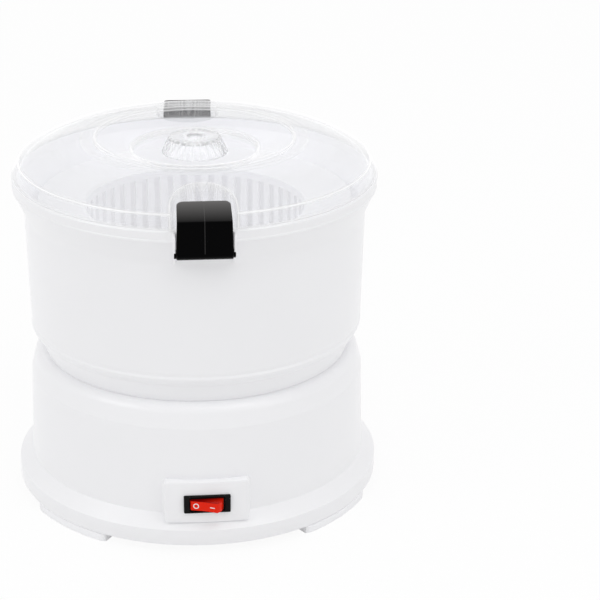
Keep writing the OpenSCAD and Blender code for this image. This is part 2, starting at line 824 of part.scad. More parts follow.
module drive_dog() {
    color(jet) difference() {
        union() {
            translate([0, 0, dog_flange_z]) cylinder(r = dog_flange_r, h = dog_z - dog_flange_z);
            translate([0, 0, dog_z - eps]) cylinder(d = dog_d, h = dog_h, $fn = 6);
        }
        translate([0, 0, dog_flange_z - 1]) cylinder(r = shaft_r, h = dog_z + dog_h - 2 - dog_flange_z);
    }
}

// ---- Bowl ------------------------------------------------------------------

function bowl_flank() = concat(
    arc([rim_r + 0.2, haunch_z], bead_crease, 8, 6),
    arc(bead_crease, [bowl_r + 0.2, bead_z - 0.8], 44, 8),
    [[bowl_r + 0.2, bead_z - 0.2], [bowl_r - 0.3, bead_z + 0.7], [bowl_r, wall_z]],
    arc([bowl_top_r, flare_z], [bowl_rim_r - 1.2, band_z - 1], -14, 6),
    arc([bowl_rim_r - 0.7, band_z - 0.9], [bowl_rim_r - 0.6, band_z + 0.9], 100, 6),
    [[bowl_rim_r, bowl_top - 1], [bowl_rim_r - 0.8, bowl_top]]);

function bowl_inside() = concat(
    [[bowl_rim_r - 3.4, bowl_top]],
    reversed(arc([bowl_top_r - bowl_wall, flare_z], [bowl_rim_r - 3.4, band_z + 1], -14, 6)),
    [[bowl_r - bowl_wall, wall_z]],
    reversed(arc(bead_crease - [bowl_wall, -0.4], [bowl_r - bowl_wall - 0.2, bead_z], 40, 6)),
    [[rim_r - 2, floor_top]]);

module bowl_ear() {
    reach = hinge_y + knuckle_r - 0.6;
    difference() {
        side_section(ear_t) union() {
            polygon([[bowl_top_r - 1, flare_z - 2], [bowl_top_r + 1.2, flare_z],
                [hinge_y + 1, hinge_z - knuckle_r + 0.6], [reach, hinge_z],
                [reach, bowl_top - 2.4], [reach - 1.6, bowl_top - 0.6],
                [bowl_rim_r - 2, bowl_top - 0.6], [bowl_rim_r - 2.4, band_z]]);
            translate([hinge_y, hinge_z]) circle(knuckle_r - 0.6);
        }
        translate([0, -hinge_y, hinge_z]) rotate([0, 90, 0])
            cylinder(r = trunnion_r + fit, h = ear_t + 2, center = true);
    }
}

ear_x = (clasp_w + clasp_spread) / 2 + gap + ear_t / 2;

module bowl() {
    color(shell) {
        revolve(concat(
            [[bowl_foot_r - bowl_wall, well_z], [bowl_foot_r, well_z], [bowl_foot_r, haunch_z]],
            bowl_flank(), bowl_inside(),
            [[tube_r + bowl_wall, floor_top], [tube_r + bowl_wall, tube_top],
                [tube_r, tube_top], [tube_r, floor_z], [bowl_foot_r - bowl_wall, floor_z]]));
        for (turn = [0, 180], x = [-ear_x, ear_x]) rotate([0, 0, turn])
            translate([x, 0, 0]) bowl_ear();
    }
}

// ---- Basket and disc -------------------------------------------------------

module basket() {
    inner = basket_r - basket_wall;
    lip_drop = 4;
    slot_foot = basket_z + basket_floor_t + 5;
    slot_head = mouth_z - 6;
    color(pale) difference() {
        union() {
            revolve([
                [0, basket_z], [basket_r - 3, basket_z], [basket_r, basket_z + 3],
                [basket_r, mouth_z - basket_wall], [deck_r - basket_wall, deck_z - basket_wall],
                [deck_r - basket_wall, deck_z - lip_drop], [deck_r, deck_z - lip_drop],
                [deck_r, deck_z], [basket_r, mouth_z], [inner, mouth_z - 1],
                [inner, basket_z + basket_floor_t + 2], [inner - 2, basket_z + basket_floor_t],
                [0, basket_z + basket_floor_t]]);
            translate([0, 0, basket_z]) cylinder(r = 13, h = post_h + 3);
        }
        translate([0, 0, basket_z - 1]) cylinder(d = post_d + 0.6, h = post_h + 1.4, $fn = 6);
        for (i = [0:slots - 1]) rotate([0, 0, (i + 0.5) * 360 / slots])
            translate([inner - 2, -slot_w / 2, slot_foot])
                cube([basket_wall + 4, slot_w, slot_head - slot_foot]);
        for (i = [0:11]) rotate([0, 0, i * 30]) translate([24, -2, basket_z - 1])
            cube([basket_r - 36, 4, basket_floor_t + 2]);
    }
}

module peeling_disc() {
    color(pale) {
        difference() {
            revolve([
                [0, dog_z], [disc_hub_r, dog_z], [disc_hub_r, tube_top + 4],
                [skirt_disc_r, tube_top + 4], [skirt_disc_r + 1, disc_z],
                [disc_r, disc_z], [disc_r, disc_top + 1.2], [disc_r - 2, disc_top + 1.2],
                [disc_r - 2, disc_top], [skirt_disc_r + disc_t + 1, disc_top],
                [skirt_disc_r + disc_t - 1, tube_top + 4 + disc_t],
                [disc_hub_r, tube_top + 4 + disc_t], [disc_hub_r, disc_hub_top],
                [0, disc_hub_top]]);
            translate([0, 0, dog_z - 1]) cylinder(d = dog_d + 0.7, h = dog_h + 1.5, $fn = 6);
        }
        translate([0, 0, disc_hub_top - eps]) cylinder(d = post_d, h = post_h, $fn = 6);
        disc_waves(0);
    }
}

// Low round waves that throw the potatoes outwards
module disc_waves(extra) {
    sink = 6;
    for (i = [0:waves - 1]) rotate([0, 0, i * 360 / waves]) intersection() {
        translate([skirt_disc_r + disc_t + 8, 0, disc_top - sink]) rotate([0, 90, 0])
            cylinder(r = sink + wave_h + extra, h = disc_r - 14 - skirt_disc_r - disc_t);
        translate([0, -20, disc_top - eps]) cube([disc_r, 40, 20]);
    }
}

module abrasive_ring() {
    color([0.45, 0.43, 0.4]) difference() {
        ring(disc_r - 2.4, skirt_disc_r + disc_t + 3, disc_top, 0.8);
        disc_waves(0.3);
    }
}

// ---- Lid -------------------------------------------------------------------

ring_step = 0.5;

function lid_outside() = concat(
    [[lid_rim_r, bowl_top], [lid_rim_r, skirt_z], [skirt_top_r, skirt_top]],
    arc([skirt_top_r - 0.6, skirt_top + 0.5], [crown_r + 10, crown_z - ring_step], 29, 14),
    [[crown_r + 9, crown_z - ring_step], [crown_r + 8.4, crown_z - 2 * ring_step],
        [crown_r + 1.6, crown_z - ring_step], [crown_r + 0.8, crown_z], [crown_r - 0.6, crown_z]],
    arc([crown_r - 1.8, crown_z - 0.8], [dish_r, dish_z + 4], 14, 6),
    [[dish_r - 0.8, dish_z + 3.6], [dish_r - 2.6, dish_z], [spigot_r + 0.2, dish_z]]);

function lid_underside() = concat(
    [[spigot_r + 0.2, dish_z - lid_t], [dish_r - 4.4, dish_z - lid_t]],
    reversed(arc([crown_r - 1.8, crown_z - 0.8 - lid_t], [dish_r - 1, dish_z + 4 - lid_t], 14, 6)),
    [[crown_r, crown_z - 0.6 - lid_t]],
    reversed(arc([skirt_top_r - 1.2 - lid_t / 2, skirt_top - lid_t + 0.6],
        [crown_r + 9, crown_z - 2 * ring_step - lid_t], 29, 14)),
    [[skirt_top_r - lid_t - 0.6, skirt_top - lid_t], [lid_rim_r - lid_t - 1.2, bowl_top]]);

// Arch of a clasp pocket, grown by extra, from height z up
module pocket_arch(extra, z) {
    r = pocket_r + extra;
    translate([0, 0, z]) linear_extrude(40) {
        translate([0, -pocket_y]) circle(r);
        translate([-r, -pocket_y - 40]) square([2 * r, 40]);
    }
}

module lid() {
    color(clear) difference() {
        union() {
            revolve(concat(lid_outside(), lid_underside()));
            for (turn = [0, 180]) rotate([0, 0, turn]) intersection() {
                pocket_arch(lid_t, pocket_z - lid_t);
                revolve(concat(lid_outside(), [[0, dish_z], [0, bowl_top]]));
            }
        }
        for (turn = [0, 180]) rotate([0, 0, turn]) pocket_arch(0, pocket_z);
    }
}

// Fluted knob, snapped into the hole at the lid's middle
module lid_knob() {
    lean = atan((knob_r - knob_top_r) / knob_h);
    wall = 2.4;
    color(clear) difference() {
        union() {
            revolve([
                [0, dish_z], [knob_r, dish_z], [knob_top_r, dish_z + knob_h - 0.8],
                [knob_top_r - 0.8, dish_z + knob_h], [0, dish_z + knob_h]]);
            translate([0, 0, dish_z - lid_t - 1.4]) {
                cylinder(r = spigot_r, h = lid_t + 2);
                cylinder(r = spigot_r + 1, h = 1.2);
            }
        }
        // hollow under the crown, round the spigot
        difference() {
            revolve([
                [0, dish_z - eps], [knob_r - wall, dish_z - eps],
                [knob_top_r - wall, dish_z + knob_h - wall], [0, dish_z + knob_h - wall]]);
            translate([0, 0, dish_z - 1]) cylinder(r = spigot_r, h = knob_h);
        }
        // dimple in the top
        translate([0, 0, dish_z + knob_h - 1.2]) cylinder(r1 = 4, r2 = 5.4, h = 1.2 + eps);
        for (i = [0:flutes - 1]) rotate([0, 0, i * 360 / flutes])
            translate([knob_r + 0.5, 0, dish_z]) rotate([0, -lean, 0])
                translate([0, 0, -3]) cylinder(r = 1.5, h = knob_h + 8);
    }
}

// ---- Clasps ----------------------------------------------------------------

// Section of a clasp: knuckle, upright skin and the lip over the lid's pocket
module clasp_section() {
    skin = [clasp_face - 0.7, crease_z + 0.7];
    under = [clasp_inner_y - 1.3, crease_z + 0.1];
    polygon(concat(
        [[clasp_inner_y, hinge_z], [clasp_face, hinge_z], [clasp_face, crease_z - 0.8]],
        arc(skin, clasp_tip, 20, 6),
        arc(clasp_tip - [0.3, 1.9], under, -20, 6),
        [[clasp_inner_y, crease_z - 1.4]]));
    translate([hinge_y, hinge_z]) circle(knuckle_r);
}

// Section of the ribs that bear on the lid's skirt
module catch_section() {
    lean = skirt_lean / skirt_h;
    off = gap * 1.2;
    low = skirt_z + 0.8;
    high = pocket_z + 1.2;
    polygon([
        [clasp_inner_y + 0.2, low], [lid_rim_r - lean * (low - skirt_z) + off, low],
        [lid_rim_r - lean * (high - skirt_z) + off, high],
        [lid_rim_r - lean * (high - skirt_z) + off, high + 3],
        [clasp_inner_y - 1, crease_z + 1]]);
}

// Outline of a clasp seen from the front: wider at its foot, round at the top
module clasp_front() {
    foot = hinge_z - knuckle_r - 1;
    top = clasp_tip[1] + 1;
    half_foot = (clasp_w + clasp_spread) / 2;
    half_top = clasp_w / 2;
    corner = 2.6;
    shoulder = top - corner - 1.2;
    polygon([[-half_foot, foot], [half_foot, foot], [half_top, shoulder],
        [half_top - corner, top], [corner - half_top, top], [-half_top, shoulder]]);
    for (x = [-1, 1]) translate([x * (half_top - corner), shoulder]) circle(corner);
}

module clasp() {
    trunnion_x = ear_x + ear_t / 2 + 0.5;
    color(jet) {
        intersection() {
            side_section(60) clasp_section();
            from_front(clasp_face + 5, clasp_tip[0] - 8) clasp_front();
        }
        for (x = [-10, 10]) translate([x, 0, 0]) side_section(3) catch_section();
        translate([0, -hinge_y, hinge_z]) rotate([0, 90, 0])
            cylinder(r = trunnion_r, h = 2 * trunnion_x, center = true);
    }
}

module front_clasp() { clasp(); }

module rear_clasp() { rotate([0, 0, 180]) clasp(); }

base_housing();
bottom_plate();
feet();
base_screws();
switch_housing();
switch_rocker();
switch_terminals();
cord_bush();
terminal_block();
inner_leads();
motor_bracket();
bracket_screws();
motor_can();
motor_end_cap();
field_magnets();
motor_bushes();
brushes();
motor_screws();
motor_shaft();
armature_core();
armature_windings();
commutator();
motor_pulley();
drive_belt();
drive_pulley();
output_shaft();
shaft_bushes();
thrust_washer();
retaining_clip();
shaft_seal();
drive_dog();
bowl();
basket();
peeling_disc();
abrasive_ring();
lid();
lid_knob();
front_clasp();
rear_clasp();
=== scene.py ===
# %% [markdown]
# # An electric potato peeler, dressed for the camera
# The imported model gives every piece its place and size. This script keeps that frame, swaps the
# visible shells for smooth surfaces worked out with numpy, and gives every piece its finish. Lengths
# of pieces are written in millimetres and turned into metres when a mesh is made.

# %% Load the frame
import json
import math

import bmesh
import bpy
import numpy as np
from mathutils import Matrix, Vector


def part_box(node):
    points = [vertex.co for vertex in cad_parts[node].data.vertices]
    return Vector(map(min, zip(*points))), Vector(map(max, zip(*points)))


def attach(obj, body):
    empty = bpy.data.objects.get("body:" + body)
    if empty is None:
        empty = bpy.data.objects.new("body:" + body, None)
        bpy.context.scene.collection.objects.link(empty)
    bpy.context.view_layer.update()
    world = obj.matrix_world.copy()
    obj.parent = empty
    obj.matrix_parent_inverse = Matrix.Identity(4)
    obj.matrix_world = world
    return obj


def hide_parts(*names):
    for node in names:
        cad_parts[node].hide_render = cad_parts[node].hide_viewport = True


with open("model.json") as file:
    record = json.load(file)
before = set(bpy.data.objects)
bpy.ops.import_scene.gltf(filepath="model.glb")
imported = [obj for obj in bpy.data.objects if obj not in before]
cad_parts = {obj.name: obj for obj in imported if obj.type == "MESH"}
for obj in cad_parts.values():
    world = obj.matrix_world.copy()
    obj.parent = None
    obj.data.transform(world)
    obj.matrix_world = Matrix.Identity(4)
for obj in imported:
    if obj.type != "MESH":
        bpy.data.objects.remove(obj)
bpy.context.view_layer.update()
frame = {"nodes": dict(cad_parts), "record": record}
nodes = frame["nodes"]
MM = 0.001

# %% [markdown]
# ## The camera
# The photograph is a product shot from a little above and a touch left of the front. Its lens and
# stand come from the ellipses that the round rims draw. The aim is off the picture's middle
# because the object stands left of it, so the camera is turned and not shifted.

# %% Camera
# Distances are in metres, turns in degrees, and the lens and its sensor in millimetres.
CAMERA_DISTANCE = 1.2728
CAMERA_ELEVATION = 20.33
CAMERA_SIDE = -2.5
AIM_HEIGHT = 0.1745
LENS, SENSOR_WIDTH = 112.2, 36.0
AIM_YAW = -3.165
AIM_PITCH = -1.986
AIM_ROLL = -0.561


def studio_camera():
    """Stands on a circle round the axis at the photograph's height, looks at the axis, then turns.
    The turns are about the camera's own up, right and view axes, in that order."""
    lift, side = math.radians(CAMERA_ELEVATION), math.radians(CAMERA_SIDE)
    flat = CAMERA_DISTANCE * math.cos(lift)
    place = Vector((flat * math.sin(side), -flat * math.cos(side),
                    AIM_HEIGHT + CAMERA_DISTANCE * math.sin(lift)))
    look = (Vector((0, 0, AIM_HEIGHT)) - place).to_track_quat("-Z", "Y").to_matrix()
    turn = (Matrix.Rotation(math.radians(AIM_YAW), 3, "Y")
            @ Matrix.Rotation(math.radians(AIM_PITCH), 3, "X")
            @ Matrix.Rotation(math.radians(AIM_ROLL), 3, "Z"))
    data = bpy.data.cameras.new("studio_camera")
    data.lens = LENS
    data.sensor_width = SENSOR_WIDTH
    data.sensor_fit = "HORIZONTAL"
    camera = bpy.data.objects.new("studio_camera", data)
    camera.matrix_world = Matrix.Translation(place) @ (look @ turn).to_4x4()
    bpy.context.scene.collection.objects.link(camera)
    bpy.context.scene.camera = camera
    return camera


camera = studio_camera()
print("camera at", tuple(round(v, 3) for v in camera.location))

# %% [markdown]
# ## Surfaces from grids
# Almost every moulded piece here is a grid: rings of points, each ring as long as the next. A
# revolve is a profile turned about Z, and a loft is a stack of outlines. Modelling tools and boolean
# cuts could make them too, but one helper that turns any such array into a mesh leaves each shape
# below as only the formula of its points.

# %% Grid helper
MERGE_WITHIN, SHORTEST_EDGE = 2e-6, 1e-6
SHARP_FROM = 38


def mesh_from_grid(name, points, close_rows=False, close_columns=True):
    """Quads between neighbouring rows and columns of an array (rows, columns, 3) in millimetres.
    Row i, column j is vertex i * columns + j, and a closed axis joins its last to its first."""
    rows, columns, _ = points.shape
    i = np.arange(rows if close_rows else rows - 1)[:, None]
    j = np.arange(columns if close_columns else columns - 1)[None, :]
    i2, j2 = (i + 1) % rows, (j + 1) % columns
    quads = np.stack([i * columns + j, i * columns + j2, i2 * columns + j2, i2 * columns + j], -1)
    return finish_mesh(name, points.reshape(-1, 3), quads.reshape(-1, 4))


def finish_mesh(name, vertices, faces):
    """Puts vertices in millimetres and faces of one length into a mesh, merges doubles at poles and
    seams, turns every face outwards, and shades smooth all but the corners over SHARP_FROM degrees."""
    mesh = bpy.data.meshes.new(name)
    mesh.from_pydata((np.asarray(vertices) * MM).tolist(), [], np.asarray(faces).tolist())
    bm = bmesh.new()
    bm.from_mesh(mesh)
    bmesh.ops.remove_doubles(bm, verts=bm.verts, dist=MERGE_WITHIN)
    bmesh.ops.dissolve_degenerate(bm, edges=bm.edges, dist=SHORTEST_EDGE)
    bmesh.ops.recalc_face_normals(bm, faces=bm.faces)
    bm.to_mesh(mesh)
    bm.free()
    mesh.shade_smooth()
    mesh.set_sharp_from_angle(angle=math.radians(SHARP_FROM))
    piece = bpy.data.objects.new(name, mesh)
    bpy.context.scene.collection.objects.link(piece)
    return piece


def vertex_vectors(piece, field):
    """An array (vertices, 3) of the mesh's co or normal."""
    values = np.empty(len(piece.data.vertices) * 3)
    piece.data.vertices.foreach_get(field, values)
    return values.reshape(-1, 3)


def marked(piece, name, values):
    """Writes one number for each vertex as an attribute that a material can read."""
    attribute = piece.data.attributes.new(name, "FLOAT", "POINT")
    attribute.data.foreach_set("value", np.asarray(values, np.float32))
    return piece


def joined(name, *pieces):
    """The pieces as one object with that name; each keeps its own vertices and faces."""
    with bpy.context.temp_override(active_object=pieces[0], selected_editable_objects=list(pieces)):
        bpy.ops.object.join()
    pieces[0].name = name
    return pieces[0]


# %% [markdown]
# ## Rounded profiles
# Moulded plastic has no knife edges: every corner has a small radius, and that radius is what
# draws the bright lines on a white shell. A Bevel modifier would round all corners alike, so here a
# profile is a short list of corners with a radius each, and the corners are swapped for curves.

# %% Profile helpers
def arc(a, b, turn, n=12):
    """Points from a to b on a circular arc whose heading turns by turn degrees, left when positive.
    A chord from a that spans half the swept angle h has length proportional to sin h."""
    a, b = np.array(a, float), np.array(b, float)
    half, t = math.radians(turn) / 2, np.linspace(0, 1, n + 1)
    heading = math.atan2(*(b - a)[::-1]) - half + half * t
    reach = np.linalg.norm(b - a) * np.sin(half * t) / math.sin(half)
    return a + reach[:, None] * np.stack([np.cos(heading), np.sin(heading)], -1)


def rounded(corners, closed=True, n=5):
    """A smooth profile through corners (x, y, radius). Each corner becomes a quadratic curve that
    starts and ends on the two sides, at the radius's tangent length or 45% of the shorter side."""
    c = np.array([(list(p) + [0])[:3] for p in corners], float)
    p, before, after = c[:, :2], np.roll(c[:, :2], 1, 0), np.roll(c[:, :2], -1, 0)
    u, v = before - p, after - p
    lu, lv = np.linalg.norm(u, axis=1), np.linalg.norm(v, axis=1)
    cosine = np.clip((u * v).sum(1) / (lu * lv), -1, 1)
    cut = c[:, 2] / np.maximum(np.tan(np.arccos(cosine) / 2), 1e-6)
    cut = np.minimum(cut, 0.45 * np.minimum(lu, lv))
    start, end = p + u / lu[:, None] * cut[:, None], p + v / lv[:, None] * cut[:, None]
    t = np.linspace(0, 1, n)[None, :, None]
    curve = (1 - t) ** 2 * start[:, None] + 2 * t * (1 - t) * p[:, None] + t ** 2 * end[:, None]
    if not closed:
        curve[0], curve[-1] = p[0], p[-1]
    flat = curve.reshape(-1, 2)
    keep = np.ones(len(flat), bool)
    keep[1:] = np.linalg.norm(np.diff(flat, axis=0), axis=1) > 1e-4
    return flat[keep]


def as_corners(points):
    """The points of an arc as corners of radius 0, which stay as they are."""
    return [(x, y, 0.0) for x, y in points]


def revolve(name, profile, steps=192, closed=True):
    """A profile of (radius, height) turned about Z: x = r cos a, y = r sin a."""
    a = np.linspace(0, 2 * np.pi, steps, endpoint=False)[None, :]
    r, z = profile[:, 0][:, None], profile[:, 1][:, None]
    points = np.stack([r * np.cos(a), r * np.sin(a), z + 0 * a], -1)
    return mesh_from_grid(name, points, close_rows=closed)


def soft_rect(width, height, radius, n=6, extra=()):
    """Outline of a rectangle with round corners, centred, counter-clockwise, always the same number
    of points: four quarter circles of n points, with extra points along the two long sides."""
    q = np.linspace(0, np.pi / 2, n)
    corner = radius * np.stack([np.cos(q), np.sin(q)], -1)
    x, y = width / 2 - radius, height / 2 - radius
    turned = [corner @ np.array([[c, s], [-s, c]]) for c, s in ((1, 0), (0, 1), (-1, 0), (0, -1))]
    centres = [(x, y), (-x, y), (-x, -y), (x, -y)]
    sides = [t + np.array(k) for t, k in zip(turned, centres)]
    top = np.stack([-np.array(extra), np.full(len(extra), height / 2)], -1) if len(extra) else []
    low = np.stack([np.array(extra), np.full(len(extra), -height / 2)], -1) if len(extra) else []
    parts = [sides[0], top, sides[1], sides[2], low, sides[3]]
    return np.concatenate([part for part in parts if len(part)])


def capped(rings):
    """Adds a ring shrunk to its own middle at both ends, so that a loft is closed."""
    first, last = rings[:1].mean(1, keepdims=True), rings[-1:].mean(1, keepdims=True)
    return np.concatenate([0 * rings[:1] + first, rings, 0 * rings[-1:] + last])


def plate(name, outline, thickness, radius=0.5):
    """A flat plate in Y and Z, centred on x = 0, whose rim is rounded: four outlines a side, each
    drawn in by the radius times one minus the sine of the way round the rim's arc."""
    outline = np.asarray(outline, float)
    middle = outline.mean(0)
    size = np.abs(outline - middle).max()
    q = np.linspace(0, np.pi / 2, 4)
    inset = np.concatenate([radius * (1 - np.sin(q)), radius * (1 - np.sin(q[::-1]))])
    x = np.concatenate([-thickness / 2 + radius * (1 - np.cos(q)),
                        thickness / 2 - radius * (1 - np.cos(q[::-1]))])
    scale = 1 - inset / size
    yz = middle + (outline - middle)[None] * scale[:, None, None]
    rings = np.concatenate([np.broadcast_to(x[:, None, None], yz.shape[:2] + (1,)), yz], -1)
    return mesh_from_grid(name, capped(rings))


# %% [markdown]
# ## Sizes
# The driving sizes repeat the construction's, in millimetres. Heights that other pieces depend on
# are read from the frame's boxes and not written again, so a piece sits where its solid is.

# %% Driving sizes
# The base: its flange, the drum's wall at foot and top, the rim round the well, and its thickness
FLANGE_R, FLANGE_TOP = 125.0, 16.7
DRUM_FOOT_R, DRUM_FOOT = 115.6, 24.5
DRUM_TOP_R, DRUM_TOP = 114.0, 84.3
RIM_R, RIM_LAND, WALL = 103.4, 1.8, 2.6
# The switch's pad: its face's distance from the axis, width, height, corners and higher top, with
# the places of the points that its long sides get, so that they can bow
PAD_Y, PAD_W, PAD_H, PAD_CORNER, PAD_LIFT = 121.6, 55.0, 28.0, 2.0, 1.4
PAD_EXTRA = np.linspace(-22, 22, 12)
# The clasps: the face's distance from the axis, width at the tip and how much more at the hinge,
# thickness, and the hinge's knuckle
CLASP_FACE, CLASP_W, CLASP_SPREAD, CLASP_T = 126.3, 33.3, 1.9, 3.0
KNUCKLE_R = 3.8
# The bowl: its wall at the foot, how much wider it is at the flare, and its rim
BOWL_R, BOWL_TAPER, BOWL_RIM_R = 112.7, 1.7, 122.2
# The lid: a pocket's arch and the distance of its centre, thickness, edge, skirt, crown and dish
POCKET_R, POCKET_Y, LID_T = 21.0, 112.0, 2.2
LID_R, SKIRT_R, SKIRT_UP = BOWL_RIM_R - 0.8, BOWL_RIM_R - 5.0, 9.0
CROWN_R, DISH_R, DISH_DEPTH = 66.6, 43.2, 11.8
KNOB_R, KNOB_TOP_R, FLUTES = 22.3, 17.3, 24


def low(node):
    """The lowest height of a node's box."""
    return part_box(node)[0][2] / MM


def high(node):
    """The highest height of a node's box."""
    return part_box(node)[1][2] / MM


foot_h = low("base_housing")
neck_z = high("base_housing")
well_z = low("bowl")
rim_z = well_z + 7.0
bowl_top = low("lid")
crown_z = high("lid")
knob_top = high("lid_knob")
flare_z = bowl_top - 24.4
band_z = bowl_top - 7.1
hinge_z = low("front_clasp") + KNUCKLE_R
hinge_y = CLASP_FACE - KNUCKLE_R
switch_z = (low("switch_housing") + high("switch_housing")) / 2
inlet_z = (low("cord_bush") + high("cord_bush")) / 2
print("rims at", round(rim_z, 2), round(bowl_top, 2), round(crown_z, 2))

# %% [markdown]
# ## Finishes
# Moulded plastic differs from a flat colour in small ways: its skin has a fine grain that shows at
# a glancing angle alone, and its colour has a very slight cloud. Pictures could carry both, but
# noise on object coordinates needs no unwrapping and looks the same on every piece. The function
# also paints an even glow on white walls in place of the light that comes through them, paints
# shade or a reflection on some sides as a second colour, and puts a coat on the black gloss that
# mirrors the room at a glancing view.

# %% Plastic
def new_material(name):
    """A new material, its node tree and its Principled shader."""
    material = bpy.data.materials.new(name)
    material.use_nodes = True
    tree = material.node_tree
    return material, tree, tree.nodes["Principled BSDF"]


def own_place(tree):
    """Where a point lies on the piece, in metres from the object's origin."""
    return tree.nodes.new("ShaderNodeTexCoord").outputs["Object"]


def carried(tree, name):
    """The number that the mesh carries as the attribute of that name."""
    node = tree.nodes.new("ShaderNodeAttribute")
    node.attribute_name = name
    return node.outputs["Fac"]


def noise(tree, scale, detail=3.0):
    """Noise on the piece's own coordinates; scale is in waves per metre."""
    wave = tree.nodes.new("ShaderNodeTexNoise")
    wave.inputs["Scale"].default_value = scale
    wave.inputs["Detail"].default_value = detail
    tree.links.new(own_place(tree), wave.inputs["Vector"])
    return wave.outputs["Fac"]


def mixed(tree, factor, a, b):
    """The colour a where factor is 0 and b where it is 1. Each is a colour or a node's output."""
    mix = tree.nodes.new("ShaderNodeMix")
    mix.data_type = "RGBA"
    tree.links.new(factor, mix.inputs["Factor"])
    for socket, color in ((mix.inputs["A"], a), (mix.inputs["B"], b)):
        if isinstance(color, tuple):
            socket.default_value = (*color, 1)
        else:
            tree.links.new(color, socket)
    return mix.outputs["Result"]


def darker(color, share):
    """That share of a colour."""
    return tuple(c * share for c in color)


def ramp(tree, factor, low_value, high_value):
    """Maps noise from 0.2..0.8 onto low..high."""
    span = tree.nodes.new("ShaderNodeMapRange")
    span.inputs["From Min"].default_value = 0.2
    span.inputs["From Max"].default_value = 0.8
    span.inputs["To Min"].default_value = low_value
    span.inputs["To Max"].default_value = high_value
    tree.links.new(factor, span.inputs["Value"])
    return span.outputs["Result"]


def math_node(tree, operation, *values):
    """A Math node whose inputs are numbers or other nodes' outputs; returns its output."""
    node = tree.nodes.new("ShaderNodeMath")
    node.operation = operation
    for socket, value in zip(node.inputs, values):
        if isinstance(value, (int, float)):
            socket.default_value = value
        else:
            tree.links.new(value, socket)
    return node.outputs[0]


def bump(tree, bsdf, height, strength, distance):
    """Lets height, from 0 to 1, lift the surface by distance metres in the shading."""
    lift = tree.nodes.new("ShaderNodeBump")
    lift.inputs["Strength"].default_value = strength
    lift.inputs["Distance"].default_value = distance
    tree.links.new(height, lift.inputs["Height"])
    tree.links.new(lift.outputs["Normal"], bsdf.inputs["Normal"])


CLOUD_WAVES = 14.0
GRAIN_STRENGTH = 0.25
COAT_ROUGHNESS = 0.05


def plastic(name, color, rough=0.3, cloud=0.012, grain=260.0, depth=0.000006, gloss=0.5, through=0.0,
            inside=0.0, shade=None, glance=0.0):
    """Moulded plastic: colour times (1 - cloud .. 1) and fine grain. through is painted light: an even
    glow in the plastic's own colour that stands in for the light a thin white wall lets in from its
    far side. inside is more painted glow, added where the inside attribute is 1, to brighten the inner
    face of a wall. shade is a second colour, reached where the shade attribute is 1; it paints shade
    on the rocker's sides, a reflection and a highlight on the clasps, and an even grey on the switch's
    frame. glance is the power of a coat that mirrors the room at a glancing view alone."""
    material, tree, bsdf = new_material(name)
    final = mixed(tree, noise(tree, CLOUD_WAVES), darker(color, 1 - cloud), color)
    if shade:
        final = mixed(tree, carried(tree, "shade"), final, shade)
    tree.links.new(final, bsdf.inputs["Base Color"])
    bsdf.inputs["Roughness"].default_value = rough
    bsdf.inputs["Specular IOR Level"].default_value = gloss
    # Painted light: the emission is an even glow in the plastic's own colour, and no lamp.
    bsdf.inputs["Emission Color"].default_value = (*color, 1)
    bsdf.inputs["Emission Strength"].default_value = through
    # More painted glow on the faces that the inside attribute marks.
    if inside:
        tree.links.new(math_node(tree, "MULTIPLY_ADD", carried(tree, "inside"), inside, through),
                       bsdf.inputs["Emission Strength"])
    if glance:
        view = tree.nodes.new("ShaderNodeLayerWeight")
        view.inputs["Blend"].default_value = 0.5
        coat = math_node(tree, "POWER", view.outputs["Facing"], glance)
        tree.links.new(coat, bsdf.inputs["Coat Weight"])
        bsdf.inputs["Coat Roughness"].default_value = COAT_ROUGHNESS
    bump(tree, bsdf, noise(tree, grain, 2.0), GRAIN_STRENGTH, depth)
    return material


def metal(name, color, rough=0.3, streak=600.0):
    """Metal with fine lines: noise squeezed eight times along the height of the piece, so that it
    forms lines round it, roughens it by up to 30% either way."""
    material, tree, bsdf = new_material(name)
    bsdf.inputs["Metallic"].default_value = 1.0
    bsdf.inputs["Base Color"].default_value = (*color, 1)
    squeeze = tree.nodes.new("ShaderNodeMapping")
    squeeze.inputs["Scale"].default_value = (1, 1, 8)
    wave = tree.nodes.new("ShaderNodeTexNoise")
    wave.inputs["Scale"].default_value = streak
    tree.links.new(own_place(tree), squeeze.inputs["Vector"])
    tree.links.new(squeeze.outputs["Vector"], wave.inputs["Vector"])
    tree.links.new(ramp(tree, wave.outputs["Fac"], rough * 0.7, rough * 1.3), bsdf.inputs["Roughness"])
    bump(tree, bsdf, wave.outputs["Fac"], 0.2, 0.00001)
    return material


def grit(name, color):
    """Grit on a sheet: small voronoi grains lift the surface and darken between them."""
    material, tree, bsdf = new_material(name)
    cells = tree.nodes.new("ShaderNodeTexVoronoi")
    cells.inputs["Scale"].default_value = 1400.0
    tree.links.new(own_place(tree), cells.inputs["Vector"])
    grains = mixed(tree, cells.outputs["Distance"], color, darker(color, 0.45))
    tree.links.new(grains, bsdf.inputs["Base Color"])
    bsdf.inputs["Roughness"].default_value = 0.75
    bump(tree, bsdf, cells.outputs["Distance"], 0.8, 0.0002)
    return material
